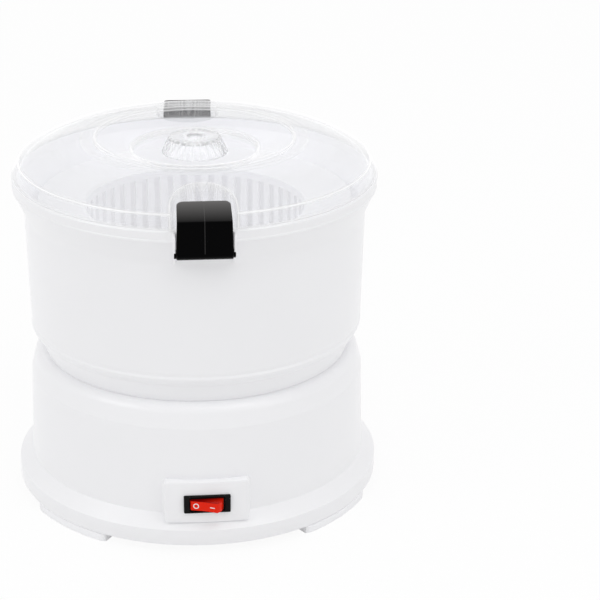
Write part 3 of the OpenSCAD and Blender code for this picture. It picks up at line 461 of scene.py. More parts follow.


# %% [markdown]
# ## Clear plastic
# The lid and its knob are clear plastic, two millimetres thick. A wall that thin hardly bends what
# is seen through it. A glass shader would bend it all the same and go dark inside, so the lid is a
# clear film, with pale plastic for the share of light that doesn't go through. That share grows
# towards a glancing view, as a painted reflection of the room, and the pale plastic glows, which is
# painted light. Painted highlights along the edges and rings and a painted reflection over the outer
# dome are written on the mesh as an attribute, with a faint haze.

# %% Clear plastic
def clear_plastic(name, steep=6.0, share=0.75, rough=0.12, glow=0.33, edge_glow=0.2):
    """Pale share = the mesh's painted light and haze + share * facing ** steep, where facing goes from
    0 face on to 1 at a glancing view; the glancing share stands in for the room's reflection. The pale
    part glows by glow + edge_glow times the painted light and haze, which is painted light, as no lamp
    is there. Shadow rays meet a third of it, because what it scatters still goes on."""
    material, tree, bsdf = new_material(name)
    bsdf.inputs["Base Color"].default_value = (0.4, 0.401, 0.405, 1)
    bsdf.inputs["Roughness"].default_value = rough
    # Painted light: the pale part glows white though it is no lamp, more along the painted highlights.
    bsdf.inputs["Emission Color"].default_value = (1, 1, 1, 1)
    bump(tree, bsdf, noise(tree, 60.0, 1.0), 0.1, 0.00002)
    film = tree.nodes.new("ShaderNodeBsdfTransparent")
    film.inputs["Color"].default_value = (0.975, 0.976, 0.98, 1)
    painted_light_and_haze = carried(tree, "painted_light_and_haze")
    tree.links.new(math_node(tree, "MULTIPLY_ADD", painted_light_and_haze, edge_glow, glow),
                   bsdf.inputs["Emission Strength"])
    # The pale share at a glancing view stands in for the room's reflection.
    glance = tree.nodes.new("ShaderNodeLayerWeight")
    glance.inputs["Blend"].default_value = 0.5
    curve = math_node(tree, "POWER", glance.outputs["Facing"], steep)
    pale = math_node(tree, "MULTIPLY_ADD", curve, share, painted_light_and_haze)
    ray = tree.nodes.new("ShaderNodeLightPath")
    shade = math_node(tree, "MULTIPLY_ADD", ray.outputs["Is Shadow Ray"], -0.67, 1.0)
    fac = math_node(tree, "MULTIPLY", pale, shade)
    fac.node.use_clamp = True
    mix = tree.nodes.new("ShaderNodeMixShader")
    tree.links.new(fac, mix.inputs["Fac"])
    tree.links.new(film.outputs["BSDF"], mix.inputs[1])
    tree.links.new(bsdf.outputs["BSDF"], mix.inputs[2])
    tree.links.new(mix.outputs["Shader"], tree.nodes["Material Output"].inputs["Surface"])
    return material


def cut_plastic(name, ior=1.22, rough=0.06):
    """Glass for a thick, fluted piece, whose flutes bend what is seen through them, with a pale diffuse
    share as large as the mesh's painted light and haze. Shadow rays pass straight through, as through
    a clear film."""
    material, tree, bsdf = new_material(name)
    bsdf.inputs["Base Color"].default_value = (0.98, 0.982, 0.99, 1)
    bsdf.inputs["Transmission Weight"].default_value = 1.0
    bsdf.inputs["IOR"].default_value = ior
    bsdf.inputs["Roughness"].default_value = rough
    pale = tree.nodes.new("ShaderNodeBsdfDiffuse")
    pale.inputs["Color"].default_value = (0.86, 0.862, 0.87, 1)
    film = tree.nodes.new("ShaderNodeBsdfTransparent")
    film.inputs["Color"].default_value = (0.95, 0.952, 0.96, 1)
    ray = tree.nodes.new("ShaderNodeLightPath")
    haze_and_highlights, shaded = tree.nodes.new("ShaderNodeMixShader"), tree.nodes.new("ShaderNodeMixShader")
    # Haze and painted highlights turn the glass pale.
    tree.links.new(carried(tree, "painted_light_and_haze"), haze_and_highlights.inputs["Fac"])
    tree.links.new(bsdf.outputs["BSDF"], haze_and_highlights.inputs[1])
    tree.links.new(pale.outputs["BSDF"], haze_and_highlights.inputs[2])
    tree.links.new(ray.outputs["Is Shadow Ray"], shaded.inputs["Fac"])
    tree.links.new(haze_and_highlights.outputs["Shader"], shaded.inputs[1])
    tree.links.new(film.outputs["BSDF"], shaded.inputs[2])
    tree.links.new(shaded.outputs["Shader"], tree.nodes["Material Output"].inputs["Surface"])
    return material


# %% [markdown]
# ## The palette
# One finish for each material of the object, under the name of its slot in the record. The whites
# get a painted glow in place of light that comes through them, the bowl's inside most. The black is
# nearly without a mirror face on and mirrors the room at a glance, as the clasps do. Every
# carried-over node gets its finish here.

# %% The palette
palette = {
    # Painted light: through and inside make the white shell, the basket and the feet glow evenly.
    "white_shell": plastic("white shell", (0.83, 0.83, 0.845), 0.28, through=0.09, inside=0.18),
    "white_plate": plastic("white plate", (0.74, 0.74, 0.75), 0.5, grain=500.0, depth=0.00006),
    "basket_white": plastic("basket white", (0.83, 0.83, 0.845), 0.32, through=0.19),
    "foot_grey": plastic("foot grey", (0.8, 0.8, 0.815), 0.6, grain=700.0, depth=0.00001,
                         through=0.16),
    "steel": metal("plain steel", (0.6, 0.61, 0.63), 0.32),
    # The second colour is a painted reflection on the clasps' slopes and a painted highlight on their
    # seam.
    "black_gloss": plastic("black gloss", (0.0015, 0.0015, 0.0017), 0.16, 0.2, gloss=0.02,
                           shade=(0.13, 0.126, 0.125), glance=2.0),
    "black_matte": plastic("black matt", (0.02, 0.02, 0.021), 0.5, 0.2),
    # The second colour is painted shade on the rocker's upper and lower sides.
    "rocker_red": plastic("rocker red", (0.8, 0.02, 0.005), 0.22, 0.06, gloss=0.08,
                          shade=(0.22, 0.001, 0.001)),
    "brass": metal("brass", (0.75, 0.56, 0.26), 0.28),
    "block_white": plastic("natural nylon", (0.72, 0.71, 0.67), 0.42),
    "lead_red": plastic("red insulation", (0.55, 0.03, 0.02), 0.4),
    "magnet": metal("ferrite", (0.06, 0.06, 0.065), 0.55),
    "bronze": metal("sintered bronze", (0.5, 0.33, 0.16), 0.45),
    "carbon": plastic("carbon", (0.04, 0.04, 0.04), 0.6, 0.3),
    "copper": metal("lacquered copper", (0.72, 0.3, 0.14), 0.3),
    "rubber": plastic("black rubber", (0.022, 0.022, 0.022), 0.7, 0.3, grain=600.0, depth=0.00008),
    "abrasive": grit("grit", (0.3, 0.28, 0.26)),
    "clear": clear_plastic("clear plastic"),
    "cut_clear": cut_plastic("fluted clear plastic"),
    "mark_white": plastic("mark white", (0.85, 0.85, 0.85), 0.5),
}
slot_of = {s["node"]: s["material_slot"] for s in frame["record"]["subparts"]}
for name, node in nodes.items():
    node.data.materials.clear()
    node.data.materials.append(palette[slot_of[name]])
print(len(palette), "finishes on", len(nodes), "nodes")


def place(piece, body, finish, *replaced):
    """Gives a piece its finish and its body, hides the CAD nodes that it stands for, and prints its
    number of faces. Two finishes belong to another's material slot."""
    piece.data.materials.clear()
    piece.data.materials.append(palette[finish])
    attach(piece, body)
    if replaced:
        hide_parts(*replaced)
    print(piece.name, "on", body, "in", finish, "with", len(piece.data.polygons), "faces")


# %% [markdown]
# ## The base
# The drum is one moulding: a flange, a slope, a wall that leans in a little and a shoulder up to
# the rim that the bowl sits inside. A line with a Solidify modifier would give it an even wall, but
# the well's deck and the neck of the bearing need their own, so one closed section holds both sides
# and is turned about the axis. The pad of the switch isn't round, so it is a stack of outlines, and
# the boss of the inlet is a small ring that is laid on its side.

# %% Base shell
NECK_R, SEAL_R, BORE_R, BORE_FOOT = 13.5, 10.5, 7.5, 42.8
SHOULDER = 2.4


def base_shell():
    """The drum's closed section turned about Z: the outside from the foot up to the rim, the well
    with the bearing's neck and bore, then the inside back down."""
    ceiling = well_z - WALL - 0.4
    well_r = RIM_R - RIM_LAND
    edge_r, lip_r = DRUM_TOP_R - SHOULDER, RIM_R + SHOULDER
    edge = arc((edge_r, rim_z - edge_r + lip_r), (lip_r, rim_z), 66)
    profile = rounded([
        (FLANGE_R - WALL, foot_h, 0.2), (FLANGE_R, foot_h, 0.5), (FLANGE_R, FLANGE_TOP, 0.6),
        (DRUM_FOOT_R, DRUM_FOOT, 0.6), (DRUM_TOP_R, DRUM_TOP, 0.3)] + as_corners(edge) + [
        (RIM_R, rim_z, 0.1), (RIM_R - 0.4, rim_z + 0.4, 0.1),
        (well_r, rim_z + 0.4, 0.4), (well_r, well_z, 1.0), (NECK_R, well_z, 1.5),
        (NECK_R, neck_z, 0.8), (SEAL_R, neck_z, 0.2), (SEAL_R, neck_z - 3, 0.1),
        (BORE_R, neck_z - 3, 0.2), (BORE_R, BORE_FOOT, 0.2), (NECK_R - 0.5, BORE_FOOT, 0.5),
        (NECK_R - 0.5, ceiling, 1.0), (well_r + WALL, ceiling, 0.5),
        (well_r + WALL, rim_z - WALL, 0.5), (RIM_R + 2.6, rim_z - WALL, 1.0),
        (edge_r - WALL, rim_z - 6.2, 1.5), (DRUM_TOP_R - WALL, DRUM_TOP - 1, 1.5),
        (DRUM_FOOT_R - WALL, DRUM_FOOT - 1, 1.5), (FLANGE_R - WALL, FLANGE_TOP - WALL, 0.8)])
    return revolve("base_drum", profile, 240)


# %% Switch pad
PAD_SPREAD, PAD_EDGE, PAD_BOW_R, PAD_DROP, PAD_SUNK = 2.4, 0.7, 240.0, 2.2, 0.3
SNAP_W, SNAP_H = 27.2, 11.6


def pad_outline(grow, rise, y=None, forward=0.0):
    """One outline of the pad, wider by grow and higher by rise on each side. It lies at y from the
    axis, or forward of the drum's wall where y isn't given, and bows back by x squared over 2 R."""
    corner = max(PAD_CORNER + grow, 0.5)
    x, z = soft_rect(PAD_W + 2 * grow, PAD_H + 2 * rise, corner, n=10, extra=PAD_EXTRA).T
    z = z + switch_z + np.where(z > 0, PAD_LIFT, 0)
    bow = x ** 2 / (2 * PAD_BOW_R)
    if y is None:
        wall = np.interp(z, [FLANGE_TOP, DRUM_FOOT, DRUM_TOP], [FLANGE_R, DRUM_FOOT_R, DRUM_TOP_R])
        y = np.minimum(np.sqrt(wall ** 2 - x ** 2) + forward + bow, PAD_Y - PAD_EDGE)
    return np.stack([x, bow - y, z], -1)


def switch_pad():
    """Outlines stacked from the drum's wall to the face, where they round over on a quarter circle
    and then turn in to the hole that the switch snaps into. From the wall, at t = 0, the outline
    draws in by spread (1 - t) squared while it comes forward by spread t squared, and its upper and
    lower edges move apart by drop t, so that the lower one runs into the flange's slope."""
    foot = [pad_outline(PAD_SPREAD * (1 - t) ** 2, PAD_DROP * (t - 1),
                        forward=PAD_SPREAD * t ** 2 - PAD_SUNK * (1 - t))
            for t in np.linspace(0, 1, 7)]
    face = [pad_outline(PAD_EDGE * (math.cos(a) - 1), PAD_EDGE * (math.cos(a) - 1),
                        PAD_Y - PAD_EDGE * (1 - math.sin(a))) for a in np.linspace(0, np.pi / 2, 6)]
    x, z = soft_rect(SNAP_W, SNAP_H, 0.3, n=10, extra=PAD_EXTRA * 0.45).T
    hole = [np.stack([x, np.full_like(x, -y), z + switch_z], -1) for y in (PAD_Y, PAD_Y - WALL)]
    return mesh_from_grid("switch_pad", np.array(foot + face + hole))


# %% Inlet boss and the whole base
INLET_SEAT, INLET_DEPTH = DRUM_FOOT_R + 1.2, 8.0
INLET_BORE_R, INLET_BOSS_R = 6.0, 10.1


def inlet_boss():
    """A short ring turned about Z, then laid along Y at the back, where the lead's bush sits."""
    foot = INLET_SEAT - INLET_DEPTH
    ring = rounded([(INLET_BORE_R, foot, 0), (INLET_BOSS_R, foot, 0.3),
                    (INLET_BOSS_R, INLET_SEAT, 0.6), (INLET_BORE_R, INLET_SEAT, 0.2)])
    boss = revolve("inlet_boss", ring, 64)
    lie = Matrix.Rotation(-math.pi / 2, 4, "X")
    boss.data.transform(Matrix.Translation((0, 0, inlet_z * MM)) @ lie)
    return boss


base_pieces = base_shell(), switch_pad(), inlet_boss()
place(joined("base_shell", *base_pieces), "base", "white_shell", "base_housing")

# %% [markdown]
# ## The feet
# Four arc-shaped blocks under the flange, two of them seen. A bevelled box would cut across the
# flange's round edge, so each is a rounded section swept round the axis through the foot's angle,
# with its ends drawn in to a soft edge.

# %% Feet
def foot(middle, span=31.0, width=15.0, end=2.6, end_width=0.75):
    """Section of a soft rectangle at angle a: x = r cos a, y = r sin a. Over the last degrees its
    width follows an ellipse down to that share, so the ends are round."""
    t = np.linspace(0, 1, 9) ** 2 * end
    draw = end_width + (1 - end_width) * np.sqrt(1 - (1 - t / end) ** 2)
    side = np.concatenate([t, [span / 4, span / 2, span * 3 / 4], span - t[::-1]])
    size = np.concatenate([draw, np.ones(3), draw[::-1]])
    height = foot_h - 0.5
    section = soft_rect(width, height, 1.0)
    r = FLANGE_R - width / 2 + section[:, 0][None] * size[:, None]
    z = height / 2 + section[:, 1][None] + 0 * r
    a = np.radians(middle - span / 2 + side)[:, None]
    return mesh_from_grid("foot", capped(np.stack([r * np.cos(a), r * np.sin(a), z], -1)))


place(joined("feet_set", *[foot(a) for a in (-42, -138, 138, 42)]), "base", "foot_grey", "feet")

# %% [markdown]
# ## The switch
# A snap-in rocker: a black frame whose inner edge slopes down to the rocker, and a red rocker with
# a shallow valley across its middle. The frame could be a bevelled box with a cut in it, but as a
# stack of soft rectangles each of its small slopes gets its own width and height.

# %% Switch frame
FRAME_SHADE = 0.07


def from_face(outline, out):
    """An outline in X and Z as points that far out of the pad's face, round the switch's middle."""
    return [(x, -PAD_Y - out, z + switch_z) for x, z in outline]


def switch_frame():
    """Soft rectangles from the pad's face, over the frame's rounded edge, then down the inside.
    Each has a width, a height, a corner radius and its distance out of the face. The switch's body
    behind the face is a plain block."""
    steps = [(30.4, 12.4, 0.9, -0.8), (30.4, 12.4, 0.9, 1.3), (30.0, 12.0, 0.8, 1.65),
             (29.2, 11.4, 0.7, 1.8), (24.6, 10.9, 0.6, 1.8), (23.2, 10.4, 0.5, 1.5),
             (22.6, 10.0, 0.4, 0.7), (22.5, 9.9, 0.4, -9.6), (14.0, 5.0, 0.3, -11.0)]
    rings = np.array([from_face(soft_rect(w, h, r), out) for w, h, r, out in steps])
    block = soft_rect(SNAP_W - 0.4, SNAP_H - 0.4, 0.3)
    back = np.array([from_face(block, out) for out in (-19.0, 0.1)])
    piece = joined("switch_frame", mesh_from_grid("switch_face", capped(rings)),
                   mesh_from_grid("switch_body", capped(back)))
    return marked(piece, "shade", np.full(len(piece.data.vertices), FRAME_SHADE))


place(switch_frame(), "base", "black_gloss", "switch_housing")

# %% [markdown]
# ## The rocker
# It tips about an upright axis and rests with its left end pressed in. Its two ends are parts of a
# circle about that axis, so that they clear the frame as it tips. A cut cylinder would have flat
# sides, so it is a loft of upright outlines instead, drawn level and then turned to its rest tilt.

# %% Rocker and its marks
PIVOT_Y, ROCKER_REACH, ROCKER_TILT = 120.0, 11.2, 18.0
ROCKER_END, ROCKER_FOOT = 10.6, -1.5


def rocker_front(x):
    """Height of the rocker's face above its pivot: a shallow V with a rounded bottom, which rises
    by 0.8 mm over 9.1 mm each way."""
    return 6.4 + 0.8 * np.sqrt((x / 9.1) ** 2 + 0.02) - 0.08


def on_rocker(points):
    """Turns points drawn on an untilted rocker to its rest tilt, about the pivot's upright axis:
    the left end goes in and the right end comes out."""
    tilt = math.radians(ROCKER_TILT)
    x, y, z = np.moveaxis(points, -1, 0)
    return np.stack([x * math.cos(tilt) - y * math.sin(tilt),
                     -PIVOT_Y - (y * math.cos(tilt) + x * math.sin(tilt)), z + switch_z], -1)


def rocker_body():
    """Upright outlines along the rocker, narrowing to the face. The ends follow a circle about the
    pivot. The upper and lower sides get painted shade, a darker red, most where they stand in the
    frame."""
    end = np.linspace(8.7, ROCKER_END, 8)
    rings = []
    for x in np.concatenate([-end[::-1], np.linspace(-8.2, 8.2, 19), end]):
        top = min(rocker_front(x), math.sqrt(ROCKER_REACH ** 2 - x ** 2))
        corners = [(-3.9, ROCKER_FOOT, 0.3), (3.9, ROCKER_FOOT, 0.3), (3.3, top, 0.3), (-3.3, top, 0.3)]
        rings.append([(x, y, z) for z, y in rounded(corners, n=4)])
    body = mesh_from_grid("rocker_body", on_rocker(capped(np.array(rings))))
    # Painted shade: the darker red on faces that look up or down, strongest at the left end.
    sideways = 1.4 * np.abs(vertex_vectors(body, "normal")[:, 2]) - 0.3
    deep = np.interp(vertex_vectors(body, "co")[:, 0] / MM, (-4, 8), (1, 0.5))
    return marked(body, "shade", np.clip(sideways, 0, 1) * deep)


def rocker_mark(name, outer, inner, middle):
    """A thin printed mark between two outlines in X and Z, laid on the rocker's face with its
    middle at that x. It starts 0.1 mm in the face and stands 0.06 mm proud."""
    layers = [(outer, -0.1), (outer, 0.06), (inner, 0.06), (inner, -0.1)]
    rings = [[(x + middle, rocker_front(x + middle) + up, z) for x, z in ring] for ring, up in layers]
    return mesh_from_grid(name, on_rocker(np.array(rings)), close_rows=True)


circle = np.linspace(0, 2 * np.pi, 40, endpoint=False)
unit = np.stack([np.cos(circle), np.sin(circle)], -1)
bar = soft_rect(3.2, 0.6, 0.15)
ring_mark = rocker_mark("ring_mark", unit * 1.9, unit * 1.3, -5.5)
bar_mark = rocker_mark("bar_mark", bar, bar * 0.02, 5.4)
place(rocker_body(), "rocker", "rocker_red", "switch_rocker")
place(joined("rocker_marks", ring_mark, bar_mark), "rocker", "mark_white")

# %% [markdown]
# ## The bowl
# The bowl stands in the base's well on a foot ring, leans out to a round bead, rises almost
# straight and flares to the band of its rim. Inside, a tube keeps the water off the drive. It could
# be a thin line with a Solidify modifier, but the rim and the foot are thicker than the wall, so one
# closed section holds the outside, the rim and the inside.

# %% Bowl
def bowl_shell():
    """The section turned about Z. The inside attribute is 1 where a face looks at the axis: it is
    minus two times the part of the normal that points away from the axis, kept within 0 and 1. The
    white shell paints more glow there, which is painted light."""
    foot_r = RIM_R - RIM_LAND - 0.6
    haunch_z, bead_z = rim_z + 0.5, rim_z + 20.3
    crease = np.array((BOWL_R - 4.6, haunch_z + 12.8))
    wall_z = bead_z + 3.0
    top_r = BOWL_R + BOWL_TAPER
    floor, floor_top = rim_z + 1.0, rim_z + 3.8
    tube_r, tube_top = NECK_R + 2.0, neck_z + 6.5
    haunch = arc((RIM_R + 0.2, haunch_z + 0.2), crease, 8, 6)
    bead = arc(crease, (BOWL_R + 0.2, bead_z - 1.0), 44)[1:]
    inside = arc(crease + (-WALL, 0.4), (BOWL_R - WALL - 0.2, bead_z), 40)[::-1]
    profile = rounded(
        [(foot_r - WALL, well_z, 0.3), (foot_r, well_z, 0.5), (foot_r, haunch_z, 0.3),
         (RIM_R + 0.1, haunch_z, 0.1)] + as_corners(haunch) + as_corners(bead)
        + [(BOWL_R + 0.2, bead_z - 0.6, 0.2), (BOWL_R - 0.4, bead_z + 0.9, 0.4), (BOWL_R, wall_z, 1.0),
           (top_r, flare_z, 14.0), (BOWL_RIM_R - 1.2, band_z - 1.0, 0.4),
           (BOWL_RIM_R - 0.3, band_z - 0.9, 0.5), (BOWL_RIM_R - 0.3, band_z + 0.5, 0.5),
           (BOWL_RIM_R - 0.6, band_z + 0.9, 0.3), (BOWL_RIM_R, bowl_top - 1.0, 0.6),
           (BOWL_RIM_R - 0.8, bowl_top, 0.4),
           (BOWL_RIM_R - 3.4, bowl_top, 0.3), (BOWL_RIM_R - 3.6, band_z + 1, 3.0),
           (top_r - WALL, flare_z, 14.0), (BOWL_R - WALL, wall_z, 1.0)] + as_corners(inside)
        + [(RIM_R - 2.0, floor_top, 1.5), (tube_r + WALL, floor_top, 1.5),
           (tube_r + WALL, tube_top, 0.8), (tube_r, tube_top, 0.8), (tube_r, floor, 0.3),
           (foot_r - WALL, floor, 0.5)], n=7)
    wall = revolve("bowl_wall", profile, 240)
    at, normal = vertex_vectors(wall, "co"), vertex_vectors(wall, "normal")
    outwards = (at[:, :2] * normal[:, :2]).sum(1) / np.hypot(*at[:, :2].T)
    return marked(wall, "inside", np.clip(-2 * outwards, 0, 1) * (at[:, 2] > floor_top * MM))


def ear(x, turn, nose_r=2.4):
    """One of the thin plates that carry a clasp: out from the flare, round the hinge axis, up to
    the rim. It is drawn at the front and turned about Z."""
    reach, top, root = CLASP_FACE - 0.6, bowl_top - 0.6, BOWL_RIM_R - 3.6
    q = np.radians(np.linspace(-70, 0, 6))
    nose = np.stack([hinge_y + nose_r * np.cos(q), hinge_z + nose_r * np.sin(q)], -1)
    outline = rounded([(BOWL_R + 1.3, flare_z + 0.5, 0), (BOWL_R + 3.5, flare_z + 2.6, 1.0)]
                      + as_corners(nose)
                      + [(reach, top - 2.0, 1.0), (reach - 1.8, top, 0.8), (root, top, 0),
                         (root, band_z - 1, 0)], n=4)
    piece = plate("ear", outline * np.array([-1, 1]), EAR_T, 0.35)
    piece.data.transform(Matrix.Rotation(turn, 4, "Z") @ Matrix.Translation((x * MM, 0, 0)))
    return piece


EAR_T, EAR_GAP = 1.6, 0.4
EAR_X = (CLASP_W + CLASP_SPREAD) / 2 + EAR_GAP + EAR_T / 2
ears = [ear(x, turn) for turn in (0, math.pi) for x in (-EAR_X, EAR_X)]
place(joined("bowl_shell", bowl_shell(), *ears), "bowl", "white_shell", "bowl")

# %% [markdown]
# ## The lid
# The lid is a dome with a dish in its middle and an arched pocket cut into its edge behind each
# clasp. A boolean cut would leave ragged faces along the arch. As a grid it is a profile turned
# about Z, whose rings are pulled down to the pocket's floor wherever they lie inside the arch. A
# vertex near the arch is first moved onto it, so that the edge is a clean curve. The underside is
# the same grid, one wall thickness lower.

# %% Painted light on clear plastic
def with_painted_light(piece, amount):
    """Writes the attribute of painted light and haze: amount is a function of the vertices' x, y and z
    in millimetres that returns the pale share of each."""
    return marked(piece, "painted_light_and_haze", amount(*(vertex_vectors(piece, "co").T / MM)))


def line(distance, width):
    """A bell curve: 1 on the line, falling to a third at that width from it."""
    return np.exp(-(distance / width) ** 2)


# %% Lid
POCKET_FLOOR, POCKET_ANGLE = 7.4, 13.5
WALL_RUN = 0.9
FINE_STEP, SNAP_REACH = 0.55, 0.26
SECOND_RING_R = CROWN_R + 8.7


def lid_profile(drop, draw):
    """The lid's outer section from the middle to its lower edge, drawn in by draw and lowered by
    drop: a flat dish, its step and slope, two fine rings, a dome arc and a leaning skirt."""
    step = 0.5
    dish = crown_z - DISH_DEPTH
    skirt = bowl_top + 0.8
    skirt_top = bowl_top + SKIRT_UP
    slope = arc((CROWN_R - 1.8, crown_z - 0.8), (DISH_R, dish + 4), 14, 16)[::-1]
    dome = arc((SKIRT_R - 0.6, skirt_top + 0.5), (CROWN_R + 10, crown_z - step), 29, 56)[::-1]
    body = [(6.2, dish, 0), (30.0, dish, 0), (DISH_R - 2.6, dish, 1.2),
            (DISH_R - 0.7, dish + 3.6, 0.8)]
    body += as_corners(slope)
    body += [(CROWN_R - 0.4, crown_z, 0.5), (CROWN_R + 0.8, crown_z, 0.5),
             (CROWN_R + 1.6, crown_z - step, 0.4), (CROWN_R + 8.4, crown_z - 2 * step, 0.4),
             (CROWN_R + 9, crown_z - step, 0.3)]
    body += as_corners(dome)
    points = rounded(body + [(SKIRT_R, skirt_top, 0)], closed=False, n=4)
    skirt_line = np.linspace((SKIRT_R, skirt_top), (LID_R, skirt), 16)
    edge = np.array([(LID_R, bowl_top + 0.4), (LID_R - 0.15, bowl_top + 0.15)])
    points = np.concatenate([points[:-1], skirt_line, edge])
    far = np.clip((points[:, 0] - CROWN_R) / (SKIRT_R - CROWN_R), 0, 1) ** 6
    points[:, 0] -= draw * far
    points[:, 1] = np.maximum(points[:, 1] - drop, bowl_top + 0.15)
    return points


def lid_angles():
    """Angles round the lid, close together across the two pockets and wide apart elsewhere."""
    pocket = np.linspace(-POCKET_ANGLE, POCKET_ANGLE, 109)
    between = np.linspace(POCKET_ANGLE, 180 - POCKET_ANGLE, 62)[1:-1]
    return np.radians(np.concatenate([pocket - 90, between - 90, pocket + 90, between + 90]))


def arch_distance(x, y, grow):
    """Signed distance to the pocket's outline, positive outside: to a circle behind the arch's
    centre, and to two straight sides in front of it."""
    y = np.abs(y) - POCKET_Y
    r = POCKET_R + grow
    return np.where(y < 0, np.hypot(x, y) - r, np.abs(x) - r)


def onto_arch(x, y, grow, level, reach):
    """Moves points whose distance is within reach of level onto that level, along the outline's
    normal, which is radial behind the centre and sideways in front of it."""
    s = arch_distance(x, y, grow)
    ahead = np.abs(y) - POCKET_Y
    behind = ahead < 0
    span = np.where(behind, np.hypot(x, ahead), np.abs(x)) + 1e-9
    nx = np.where(behind, x / span, np.sign(x))
    ny = np.where(behind, ahead / span, 0) * np.sign(y)
    move = np.where(np.abs(s - level) < reach, level - s, 0)
    return x + move * nx, y + move * ny


def densified(profile, low_r, high_r, spacing):
    """Adds points along the profile where its radius lies between low and high, at that spacing."""
    out = [profile[:1]]
    for a, b in zip(profile[:-1], profile[1:]):
        inside = low_r < (a[0] + b[0]) / 2 < high_r
        n = max(1, int(np.linalg.norm(b - a) / spacing)) if inside else 1
        out.append(a + (b - a) * np.linspace(0, 1, n + 1)[1:, None])
    return np.concatenate(out)


def lid_surface(drop, draw, grow):
    """Height = the lower of the profile's and the pocket's, where the pocket's wall falls from the
    profile to the floor over a short run by 3 t squared - 2 t cubed. The profile gets more points
    where a pocket can meet it."""
    pocket_from, pocket_to = POCKET_Y - POCKET_R - 3.0, SKIRT_R + 0.3
    profile = densified(lid_profile(drop, draw), pocket_from, pocket_to, FINE_STEP)
    a = lid_angles()[None, :]
    r, z = profile[:, 0][:, None], profile[:, 1][:, None]
    x, y = r * np.cos(a), r * np.sin(a)
    for level in (0.0, -WALL_RUN):
        x, y = onto_arch(x, y, grow, level, SNAP_REACH)
    z = z + 0 * x
    floor = bowl_top + POCKET_FLOOR - drop
    t = np.clip(-arch_distance(x, y, grow) / WALL_RUN, 0, 1)
    fall = t * t * (3 - 2 * t)
    z = z + (np.minimum(z, floor) - z) * fall
    return np.stack([x, y, z], -1)


def lid_shell():
    """Outer surface from the middle out, then the underside back in, closed into one shell."""
    outer = lid_surface(0.0, 0.0, 0.0)
    under = lid_surface(LID_T, LID_T + 0.5, LID_T)[::-1]
    return mesh_from_grid("lid_shell", np.concatenate([outer, under]), close_rows=True)


def lid_painted_light(x, y, z):
    """Painted highlights along the rings, the skirt's upper edge, the lower rim and the pockets'
    arches, over a faint haze and a painted reflection that thickens from the crown to the skirt, except
    at the back."""
    r = np.hypot(x, y)
    top = z > bowl_top + 3
    rings = (0.7 * line(r - CROWN_R, 0.8) + 0.25 * line(r - SECOND_RING_R, 0.7)
             + 0.55 * line(r - DISH_R + 0.7, 0.8)) * top
    skirt = 0.85 * line(np.hypot(r - SKIRT_R, z - bowl_top - SKIRT_UP), 0.9)
    rim = 0.2 * line(z - bowl_top, 1.2)
    profile = lid_profile(0.0, 0.0)
    below = np.interp(r, profile[:, 0], profile[:, 1]) - z
    arch = 0.65 * line(np.hypot(arch_distance(x, y, 0.0), below), 0.8)
    veil = 0.03 + 0.14 * np.clip((r - 76) / 20, 0, 1) ** 2 * (y < 60)
    return np.clip(np.maximum.reduce([rings, skirt, rim, arch]) + veil, 0, 0.95)


place(with_painted_light(lid_shell(), lid_painted_light), "lid", "clear", "lid")

# %% [markdown]
# ## The knob
# A clear cone with flutes, a little dimple on top and a hollow inside. Grooves cut one by one would
# give the same, but as a formula they are a row of half waves taken off the cone's radius. Its wall
# is thick enough to bend what is seen through it, so it is glass and not film.

# %% Knob
FLUTE_DEPTH, KNOB_WALL = 1.15, 2.4


def knob_shell():
    """Radius = cone - depth * |cos(flutes * angle / 2)| ** 0.7, faded out at the top and foot."""
    foot_z = crown_z - DISH_DEPTH
    a = np.linspace(0, 2 * np.pi, FLUTES * 12, endpoint=False)[None, :]
    outer = rounded([(0, foot_z, 0), (KNOB_R, foot_z, 0.4), (KNOB_TOP_R, knob_top, 0.9),
                     (5.6, knob_top, 0.4), (4.0, knob_top - 1.2, 0.5), (0, knob_top - 1.2, 0)],
                    closed=False, n=6)
    side = densified(outer, KNOB_TOP_R - 0.5, KNOB_R, 1.0)[1:]
    inner = rounded([(0, knob_top - 3.6, 0), (KNOB_TOP_R - KNOB_WALL, knob_top - KNOB_WALL, 1.0),
                     (KNOB_R - KNOB_WALL, foot_z, 0.3)], closed=False, n=4)
    r, z = side[:, 0][:, None], side[:, 1][:, None]
    fade = np.clip((r - KNOB_TOP_R + 1.2) / 1.2, 0, 1) * np.clip((z - foot_z + 0.2) / 0.8, 0, 1)
    groove = np.abs(np.cos(FLUTES * a / 2)) ** 0.7
    fluted = r - FLUTE_DEPTH * fade * groove
    top = np.stack([fluted * np.cos(a), fluted * np.sin(a), z + 0 * a], -1)
    ri, zi = inner[:, 0][:, None], inner[:, 1][:, None]
    low_side = np.stack([ri * np.cos(a), ri * np.sin(a), zi + 0 * a], -1)
    return mesh_from_grid("knob_shell", np.concatenate([top, low_side]), close_rows=True)


def knob_painted_light_and_haze(x, y, z):
    """Painted highlights on the ridges between the flutes and round the top edge, over an even haze."""
    r, a = np.hypot(x, y), np.arctan2(y, x)
    ridge = np.abs(np.cos(FLUTES * a / 2)) < 0.25
    edge = 0.6 * line(np.hypot(r - KNOB_TOP_R, z - knob_top), 1.4)
    return 0.17 + np.maximum(edge, 0.3 * ridge * (r > KNOB_TOP_R + 0.3))


place(with_painted_light(knob_shell(), knob_painted_light_and_haze), "lid", "cut_clear", "lid_knob")

# %% [markdown]
# ## The clasps
# Each clasp is one black moulding. Its section runs up from the hinge, over a crease and in across
# the lid's pocket. Seen from the front it narrows slightly, with round upper corners and a faint
# seam down its middle. A bent plate would have the same width all along, so the skin is a soft
# rectangle carried along the section. Its slope is painted paler, a painted reflection of the room
# above, and its seam a little paler too, a painted highlight.

